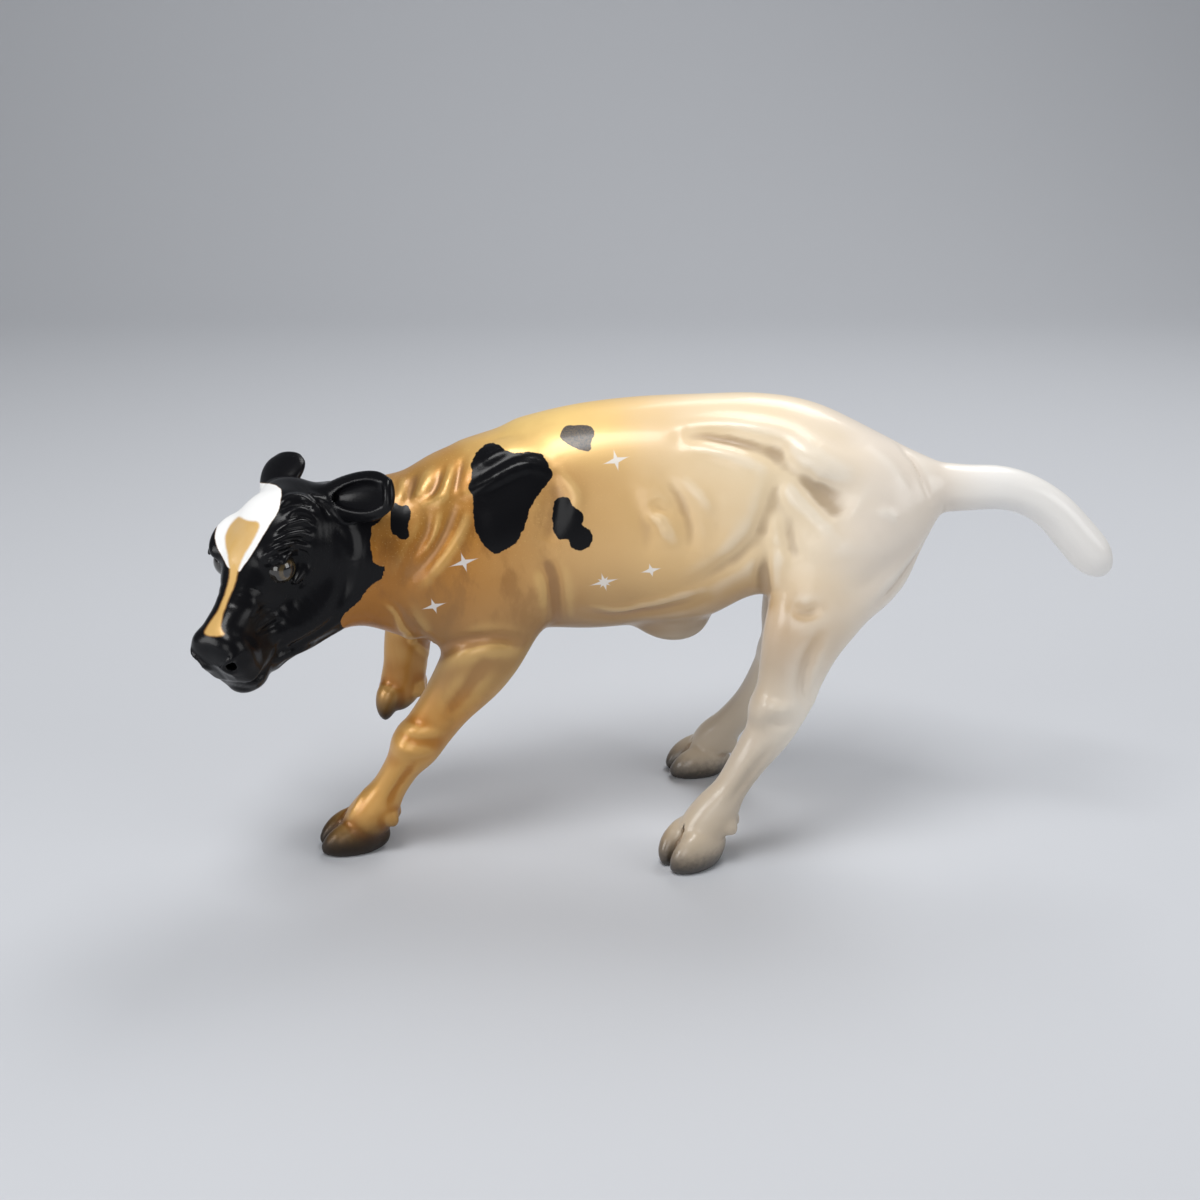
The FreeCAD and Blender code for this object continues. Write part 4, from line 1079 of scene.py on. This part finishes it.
class Paint:
    """Wraps a socket of a material, so that shader maths can be written as expressions."""

    def __init__(self, tree, socket=None):
        self.tree = tree
        self.socket = socket

    def join(self, kind, settings=None, inputs=None, output=0):
        """Add a node: its type, its settings, then values or links for its sockets."""
        node = self.tree.nodes.new(kind)
        for name, value in (settings or {}).items():
            setattr(node, name, value)
        for name, value in (inputs or {}).items():
            socket = node.inputs[name]
            if isinstance(value, Paint):
                self.tree.links.new(value.socket, socket)
            elif socket.type == "RGBA":
                socket.default_value = (*value, 1.0)
            else:
                socket.default_value = value
        return Paint(self.tree, node.outputs[output]) if node.outputs else None

    def maths(self, operation, *values):
        """One Math node."""
        return self.join("ShaderNodeMath", {"operation": operation}, dict(enumerate(values)))

    def __add__(self, other):
        return self.maths("ADD", self, other)

    def __radd__(self, other):
        return self.maths("ADD", other, self)

    def __sub__(self, other):
        return self.maths("SUBTRACT", self, other)

    def __rsub__(self, other):
        return self.maths("SUBTRACT", other, self)

    def __mul__(self, other):
        return self.maths("MULTIPLY", self, other)

    def __rmul__(self, other):
        return self.maths("MULTIPLY", other, self)

    def __truediv__(self, other):
        return self.maths("DIVIDE", self, other)

    def __pow__(self, other):
        return self.maths("POWER", self, other)

    def most(self, other):
        """The greater of two values."""
        return self.maths("MAXIMUM", self, other)

    def least(self, other):
        """The lesser of two values."""
        return self.maths("MINIMUM", self, other)

    def size(self):
        """The value without its sign."""
        return self.maths("ABSOLUTE", self)

    def step(self, start, end):
        """A soft step from 0 at the start to 1 at the end."""
        return self.join("ShaderNodeMapRange", {"interpolation_type": "SMOOTHSTEP"},
                         dict(enumerate((self, start, end, 0.0, 1.0))))

    def mix(self, first, second):
        """A colour between two, with this value as the share of the second."""
        return self.join("ShaderNodeMix", {"data_type": "RGBA"}, {0: self, 6: first, 7: second}, 2)


def new_paint(name):
    """A material without nodes, and a wrapper that adds them."""
    material = bpy.data.materials.new(name)
    material.use_nodes = True
    material.node_tree.nodes.clear()
    return material, Paint(material.node_tree)


GOLD_DARK = (0.27, 0.105, 0.015)
GOLD_RICH = (0.50, 0.205, 0.022)
# pale gold for painted highlights and glints, and for the topline's own lighter gold
GOLD_HIGHLIGHT = (0.90, 0.62, 0.22)
BUFF = (0.70, 0.46, 0.20)
CREAM = (0.80, 0.64, 0.42)
PEARL = (0.76, 0.675, 0.578)
TAIL_WHITE = (0.79, 0.775, 0.76)
RECESS_SHADE_BROWN = (0.33, 0.165, 0.060)
RECESS_SHADE_GREY = (0.34, 0.235, 0.135)
BLACK = (0.0045, 0.0045, 0.0055)
FADED_BLACK = (0.038, 0.037, 0.042)
BLAZE = (0.86, 0.86, 0.85)
BLAZE_GILT = (0.66, 0.41, 0.13)
THROAT_GOLD = (0.31, 0.115, 0.010)
UNDER_SHADE_BROWN = (0.33, 0.185, 0.070)
FAR_FORELEG_SHADE_GOLD = (0.30, 0.115, 0.010)
HIND_WHITE = (0.93, 0.86, 0.75)
HIND_CREAM = (0.86, 0.73, 0.53)
FAR_HIND_SHADE = (0.42, 0.33, 0.24)
RIDGE_HIGHLIGHT_PEARL = (0.90, 0.86, 0.78)
BELLY_SHADE_BROWN = (0.27, 0.185, 0.10)
HIND_HOOF_GREY = (0.115, 0.085, 0.060)
PUPIL = (0.004, 0.004, 0.005)
IRIS = (0.075, 0.050, 0.018)
EYE_CORNER = (0.016, 0.013, 0.010)
HOOF_BRONZE = (0.020, 0.009, 0.003)
HOOF_DARK = (0.008, 0.0065, 0.0055)
HIND_HOOF_DARK = (0.012, 0.010, 0.008)
SPARKLE = (0.83, 0.82, 0.80)

SPARKLE_LEAN = math.radians(14)
DIAGONAL = 0.707


def sparkle_arms(x, z, reach, eight_armed):
    """The tapered arms of a sparkle, from places beside its middle: 1 on each arm, 0 off it."""
    right = x * math.cos(SPARKLE_LEAN) + z * math.sin(SPARKLE_LEAN)
    up = z * math.cos(SPARKLE_LEAN) - x * math.sin(SPARKLE_LEAN)
    arms = [(right, up, 1.0), (up, right, 0.72)]
    if eight_armed:
        rising, falling = (right + up) * DIAGONAL, (right - up) * DIAGONAL
        arms += [(rising, falling, 0.5), (falling, rising, 0.5)]
    for along, aside, share in arms:
        width = (1 - along.size() / (reach * share)).most(0.0) ** 1.5 * 0.62
        yield (width - aside.size()).step(-0.02, 0.14)


def calf_paint(name, stars):
    """The hand-painted and varnished skin, laid out over the whole calf, with painted shade in its
    hollows and low down and painted highlights along its topline and ridges.
    """
    material, sheet = new_paint(name)
    place = sheet.join("ShaderNodeTexCoord", output="Object")
    x, y, z = (sheet.join("ShaderNodeSeparateXYZ", inputs={0: place}, output=axis) * (1 / MM)
               for axis in range(3))

    def noise(scale, detail=4.0, rough=0.55, at=place):
        return sheet.join("ShaderNodeTexNoise", inputs={0: at, "Scale": scale, "Detail": detail,
                                                        "Roughness": rough})

    def known(attribute):
        return sheet.join("ShaderNodeAttribute", {"attribute_name": attribute}, output="Fac")

    cloud = noise(55, 3)
    upright = sheet.join("ShaderNodeMapping", inputs={0: place, "Scale": (1.0, 1.0, 0.45)})
    brushed = noise(160, 5, 0.6, upright)
    speckle = noise(2600, 2, 0.7)
    fine = noise(900, 3)

    # ground colours from head to tail
    drift = (cloud - 0.5) * 16
    colour = (x + drift).step(-52, 2).mix(GOLD_RICH, BUFF)
    # the cream reaches further forward higher up: a painted highlight along the barrel's top
    colour = (x + drift + (z - 70) * 0.55).step(-6, 26).mix(colour, CREAM)
    colour = (x + drift).step(14, 44).mix(colour, PEARL)
    colour = x.step(50, 66).mix(colour, TAIL_WHITE)
    # lighter gold along the topline of neck and withers, partly the paint's own and partly painted
    # highlight, deep gold between
    topline_gold_and_highlight = (z + drift * 0.3).step(84, 93) * (1 - (x + drift).step(-24, 0))
    neck_top_gold_and_highlight = x.step(-38, -56) * z.step(72, 82) * 0.6
    colour = (topline_gold_and_highlight.most(neck_top_gold_and_highlight) * (0.70 + brushed * 0.5)).least(1.0).mix(colour, GOLD_HIGHLIGHT)
    throat = (1 - x.step(-58, -36)) * 0.65
    colour = throat.mix(colour, THROAT_GOLD)
    streak = (brushed - 0.47).step(0.0, 0.16) * (1 - x.step(-38, -14)) * (1 - z.step(78, 88))
    colour = (streak * 0.55).mix(colour, GOLD_DARK)
    # painted glints of the gold's flakes over the front half
    painted_glint = (speckle - 0.60).step(0.0, 0.10) * (1 - x.step(-30, 0)) * z.step(58, 84)
    colour = (painted_glint * 0.35).mix(colour, GOLD_HIGHLIGHT)
    # painted shade: browner low on the chest and barrel, under the body
    under = (1 - (z + drift * 0.3).step(50, 72)) * x.step(-60, -50) * (1 - x.step(20, 40))
    colour = (under * z.step(34, 44) * 0.80).mix(colour, UNDER_SHADE_BROWN)
    # forelegs darken downwards, hind legs stay pale
    fore = 1 - x.step(-20, -12)
    low = 1 - z.step(14, 50)
    colour = (fore * low * 0.60).mix(colour, GOLD_RICH)
    # painted shade: the far foreleg in a darker gold
    far_foreleg_shade = fore * y.step(8, 14) * (1 - z.step(50, 60))
    colour = (far_foreleg_shade * 0.5).mix(colour, FAR_FORELEG_SHADE_GOLD)
    hind = x.step(-6, 2) * (1 - z.step(34, 58))
    colour = (hind * 0.94).mix(colour, HIND_WHITE)
    colour = (hind * (cloud - 0.42).step(0.0, 0.2) * 0.35).mix(colour, HIND_CREAM)
    # painted shade on the far hind leg
    colour = (hind * y.step(14, 22) * 0.10).mix(colour, FAR_HIND_SHADE)
    # painted shade in the hollows, browner in front and greyer behind
    recess = known("recess")
    # painted shade: darker the deeper a place lies in a hollow
    hollow_shade = (recess + (cloud - 0.5) * 0.05).step(0.025, 0.22)
    shade = x.step(-20, 30).mix(RECESS_SHADE_BROWN, RECESS_SHADE_GREY)
    colour = (hollow_shade * 0.72).mix(colour, shade)
    # painted highlight on the skin's ridges, gold in front and pearl behind
    ridge_highlight = (-1 * recess).step(0.05, 0.22)
    colour = (ridge_highlight * 0.30).mix(colour, x.step(-30, 20).mix(GOLD_HIGHLIGHT, RIDGE_HIGHLIGHT_PEARL))
    # painted shade along the belly, between the fore and hind legs
    belly = (1 - z.step(45, 57)) * x.step(-34, -22) * (1 - x.step(14, 30))
    colour = (belly * 0.62).mix(colour, BELLY_SHADE_BROWN)
    # hooves
    fore_hoof = 1 - (z + (cloud - 0.5) * 6).step(2.0, 12.5)
    lifted = fore * y.step(4, 8) * (1 - (z + (cloud - 0.5) * 6).step(22.5, 29.5))
    bronze = (fore * fore_hoof).most(lifted)
    colour = (bronze * 0.92).mix(colour, HOOF_BRONZE)
    fore_edge = 1 - (z + (fine - 0.5) * 3).step(0.5, 9.0)
    colour = (fore_edge * fore * 0.8).mix(colour, HOOF_DARK)
    colour = (lifted * (1 - z.step(20.5, 24.5)) * 0.8).mix(colour, HOOF_DARK)
    hind_hoof = (1 - (z + x * 0.30 + (cloud - 0.5) * 5).step(1.5, 11.5)) * x.step(-8, -2)
    colour = (hind_hoof ** 1.2 * 0.9).mix(colour, HIND_HOOF_GREY)
    hind_edge = 1 - (z + (fine - 0.5) * 3).step(0.2, 6.5)
    colour = (hind_edge * x.step(-8, -2) * 0.9).mix(colour, HIND_HOOF_DARK)
    # patches, head and blaze
    ragged = (noise(420, 4, 0.6) - 0.5) * 1.5
    black = 1 - (known("black") + ragged).step(-0.10, 0.10)
    faded = 1 - (known("withers") + ragged * 0.6).step(-0.1, 0.1)
    colour = (faded * (0.80 + speckle * 0.3).least(1.0)).mix(colour, FADED_BLACK)
    white = 1 - (known("blaze_white") + ragged * 0.3).step(-0.15, 0.15)
    colour = white.mix(colour, BLAZE)
    gilt = 1 - (known("blaze_gold") + ragged * 0.35).step(-0.35, 0.35)
    colour = (gilt * (0.80 + brushed * 0.3).least(1.0)).mix(colour, BLAZE_GILT)
    # thin sparkles, all on the near side
    arms = [arm for number, (star_x, star_z, reach) in enumerate(stars)
            for arm in sparkle_arms(x - star_x, z - star_z, reach, number == EIGHT_ARMED)]
    colour = (reduce(Paint.most, arms) * (1 - y.step(-2, 0)) * 0.80).mix(colour, SPARKLE)

    # metallic gold under varnish, with the black as a glossy enamel of its own
    gilded = (1 - x.step(-38, 6)) * (1 - black) * (1 - white)
    relief = brushed * 0.5 + fine * 0.35 + speckle * 0.25 + black * 0.5
    brush_marks = sheet.join("ShaderNodeBump", inputs={"Strength": 0.30, "Distance": 0.00012,
                                                       "Height": relief})
    skin = sheet.join("ShaderNodeBsdfPrincipled", inputs={
        "Base Color": colour,
        "Metallic": gilded * 0.38 + gilt * 0.25,
        "Roughness": 0.42 + black * 0.10 + (cloud - 0.5) * 0.10 + (speckle - 0.5) * 0.10,
        "Coat Weight": (0.42 - gilded * 0.14 - bronze * 0.3).most(0.0),
        "Coat Roughness": 0.16,
        "Normal": brush_marks,
    })
    enamel = sheet.join("ShaderNodeBsdfPrincipled", inputs={
        "Base Color": BLACK, "Roughness": 0.24, "Specular IOR Level": 0.17, "Normal": brush_marks})
    coats = sheet.join("ShaderNodeMixShader",
                       inputs={0: black * (1 - white) * (1 - gilt), 1: skin, 2: enamel})
    sheet.join("ShaderNodeOutputMaterial", inputs={0: coats})
    return material


def eye_paint(name, centre, out_way):
    """A dark glossy eye: pupil, amber iris and dark corners, about the way that it looks."""
    material, sheet = new_paint(name)
    place = sheet.join("ShaderNodeTexCoord", output="Object")
    pupil_place = tuple((centre + out_way * EYE_RADIUS) * MM)
    offset = sheet.join("ShaderNodeVectorMath", {"operation": "SUBTRACT"},
                        {0: place, 1: pupil_place})
    length = sheet.join("ShaderNodeVectorMath", {"operation": "LENGTH"}, {0: offset}, "Value")
    away = length * (1 / MM)
    iris = away.step(1.25, 1.45).mix(PUPIL, IRIS)
    ball = sheet.join("ShaderNodeBsdfPrincipled", inputs={
        "Base Color": away.step(1.95, 2.35).mix(iris, EYE_CORNER), "Roughness": 0.10,
        "Coat Weight": 1.0, "Coat Roughness": 0.03})
    sheet.join("ShaderNodeOutputMaterial", inputs={0: ball})
    return material


def plain_paint(name, colour):
    """A plain matt surface."""
    material, sheet = new_paint(name)
    surface = sheet.join("ShaderNodeBsdfPrincipled", inputs={
        "Base Color": colour, "Roughness": 0.9, "Specular IOR Level": 0.2})
    sheet.join("ShaderNodeOutputMaterial", inputs={0: surface})
    return material


# Pieces


def boundary_edges(faces):
    """The edges that only one face has, in that face's direction."""
    ends = np.concatenate([faces[:, [i, (i + 1) % 4]] for i in range(4)])
    sorted_ends = np.sort(ends, axis=1)
    keys = sorted_ends[:, 0].astype(np.int64) * 10 ** 7 + sorted_ends[:, 1]
    _, first, counts = np.unique(keys, return_index=True, return_counts=True)
    return ends[first[counts == 1]]


def moulded_piece(node, slot_name, places, faces, normals, marks):
    """One piece of the skin as an object, with its wall's thickness turned in at its edges."""
    used = np.unique(faces)
    renumber = np.full(len(places), -1)
    renumber[used] = np.arange(len(used))
    faces = renumber[faces]
    spots = places[used]
    slopes = normals[used]
    edges = boundary_edges(faces)
    rim = np.unique(edges)
    inner = np.full(len(spots), -1)
    inner[rim] = len(spots) + np.arange(len(rim))
    all_spots = np.vstack([spots, spots[rim] - slopes[rim] * WALL])
    strips = np.stack([edges[:, 1], edges[:, 0], inner[edges[:, 0]], inner[edges[:, 1]]], axis=1)
    mesh = bpy.data.meshes.new(f"{node}_skin")
    mesh.from_pydata((all_spots + CLAY_SHIFT) * MM, [], np.vstack([faces, strips]).tolist())
    mesh.polygons.foreach_set("use_smooth", [True] * len(mesh.polygons))
    strip_corners = np.where(strips < len(spots), strips, 0)
    corner_normals = slopes[np.vstack([faces, strip_corners]).reshape(-1)]
    mesh.normals_split_custom_set(corner_normals.tolist())
    for mark, values in marks.items():
        kept = values[used]
        layer = mesh.attributes.new(mark, "FLOAT", "POINT")
        layer.data.foreach_set("value", np.concatenate([kept, kept[rim]]).astype(np.float32))
    mesh.materials.append(paints[slot_name])
    piece = bpy.data.objects.new(f"{node}_skin", mesh)
    bpy.context.collection.objects.link(piece)
    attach(piece, "root")
    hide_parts(node)


SLOTS = {
    "trunk_left_shell": "body_paint",
    "trunk_right_shell": "body_paint",
    "head_left_shell": "head_paint",
    "head_right_shell": "head_paint",
    "ear_left": "head_paint",
    "ear_right": "head_paint",
    "foreleg_left": "gold_leg_paint",
    "foreleg_right": "gold_leg_paint",
    "hindleg_left": "pearl_leg_paint",
    "hindleg_right": "pearl_leg_paint",
    "tail": "white_tail_paint",
}
WALL = 1.6
HEAD_MELTS = 24         # how often the skin is melted, to find what lies below its melted form
BODY_MELTS = 40

star_spots = body.on_skin([spot[:2] for spot in SPARKLES]) + CLAY_SHIFT
stars = [(spot[0], spot[2], star[2]) for spot, star in zip(star_spots, SPARKLES)]
paints = {slot: calf_paint(slot, stars) for slot in sorted(set(SLOTS.values()))}

for clay, naming, on_the_head in ((body, body_piece, False), (head, head_piece, True)):
    places, faces, normals = clay.skin()
    middles = places[faces].mean(axis=1)
    nowhere = np.full(len(places), FAR)
    if on_the_head:
        marks = {"black": head_black(places, normals), "withers": nowhere,
                 "blaze_white": blaze_paint(places, normals, BLAZE_WHITE),
                 "blaze_gold": blaze_paint(places, normals, BLAZE_GOLD),
                 "recess": hollow_depth(places, faces, normals, HEAD_MELTS)}
    else:
        marks = {"black": body_black(places, normals),
                 "withers": painted(places, normals, WITHERS_PATCH),
                 "blaze_white": nowhere, "blaze_gold": nowhere,
                 "recess": hollow_depth(places, faces, normals, BODY_MELTS)}
    used = used_faces(middles, on_the_head)
    faces = faces[used]
    names = naming(middles[used])
    for name in map(str, np.unique(names)):
        moulded_piece(name, SLOTS[name], places, faces[names == name], normals, marks)

for word, side in (("left", 1), ("right", -1)):
    centre = on_head(EYE_ALONG, EYE_LEFT * side, EYE_DOWN)
    bpy.ops.mesh.primitive_uv_sphere_add(segments=48, ring_count=32, radius=EYE_RADIUS * MM)
    ball = bpy.context.object
    ball.name = f"eye_{word}"
    rows = np.array([vertex.co for vertex in ball.data.vertices])
    ball.data.vertices.foreach_set("co", (rows + (centre + CLAY_SHIFT) * MM).reshape(-1))
    ball.data.polygons.foreach_set("use_smooth", [True] * len(ball.data.polygons))
    ball.data.materials.append(eye_paint(f"eye_{word}_paint", centre + CLAY_SHIFT,
                                         unit(LEFT * side + FORWARD * 0.25 + CROWN * 0.1)))
    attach(ball, "root")

# Studio: a pale floor that rises into a backdrop, soft lights and the camera


def sweep():
    """A floor and backdrop in one bent sheet."""
    reach = 1.6
    front = -1.2
    back = 0.55
    bend = 0.35
    top = 1.6
    profile = [(front, 0.0), (back, 0.0)]
    profile += [(back + bend * math.sin(turn), bend - bend * math.cos(turn))
                for turn in np.linspace(0.1, math.pi / 2, 14)]
    profile.append((back + bend, top))
    spots = [(side * reach, y, z) for y, z in profile for side in (-1, 1)]
    faces = [(2 * i, 2 * i + 1, 2 * i + 3, 2 * i + 2) for i in range(len(profile) - 1)]
    mesh = bpy.data.meshes.new("sweep")
    mesh.from_pydata(spots, [], faces)
    mesh.polygons.foreach_set("use_smooth", [True] * len(mesh.polygons))
    mesh.materials.append(plain_paint("sweep_paper", (0.555, 0.57, 0.60)))
    sheet = bpy.data.objects.new("sweep", mesh)
    bpy.context.collection.objects.link(sheet)


def lamp(name, place, target, size, power):
    """A square soft light aimed at a place."""
    light = bpy.data.lights.new(name, "AREA")
    light.size = size
    light.energy = power
    holder = bpy.data.objects.new(name, light)
    holder.location = place
    way = Vector(unit(np.array(target, float) - np.array(place, float)))
    holder.rotation_euler = way.to_track_quat("-Z", "Y").to_euler()
    bpy.context.collection.objects.link(holder)


sweep()
lamp("key", (-0.14, -0.26, 0.80), (0, 0, 0.05), 0.32, 3.8)
lamp("back", (0.18, 0.36, 0.66), (0, 0, 0.06), 0.35, 2.5)
lamp("front", (-0.30, -0.80, 0.22), (0, 0, 0.03), 0.40, 1.4)
lamp("fill", (0.70, -0.25, 0.34), (0, 0, 0.06), 0.40, 1.5)
lamp("side", (-0.76, -0.34, 0.24), (0, 0, 0.03), 0.32, 2.2)

world = bpy.data.worlds.new("studio")
world.use_nodes = True
room = world.node_tree.nodes["Background"]
room.inputs["Color"].default_value = (0.80, 0.83, 0.88, 1.0)
room.inputs["Strength"].default_value = 0.14
bpy.context.scene.world = world

camera = bpy.data.cameras.new("camera")
camera.sensor_width = SENSOR_WIDTH
camera.lens = PHOTO_FOCAL / PHOTO_SIZE * SENSOR_WIDTH
camera.clip_end = 10.0
holder = bpy.data.objects.new("camera", camera)
holder.location = (PHOTO_EYE + CLAY_SHIFT) * MM
holder.rotation_euler = (math.pi / 2 - PHOTO_PITCH, 0.0, 0.0)
bpy.context.collection.objects.link(holder)
bpy.context.scene.camera = holder
bpy.context.scene.view_settings.view_transform = "Standard"
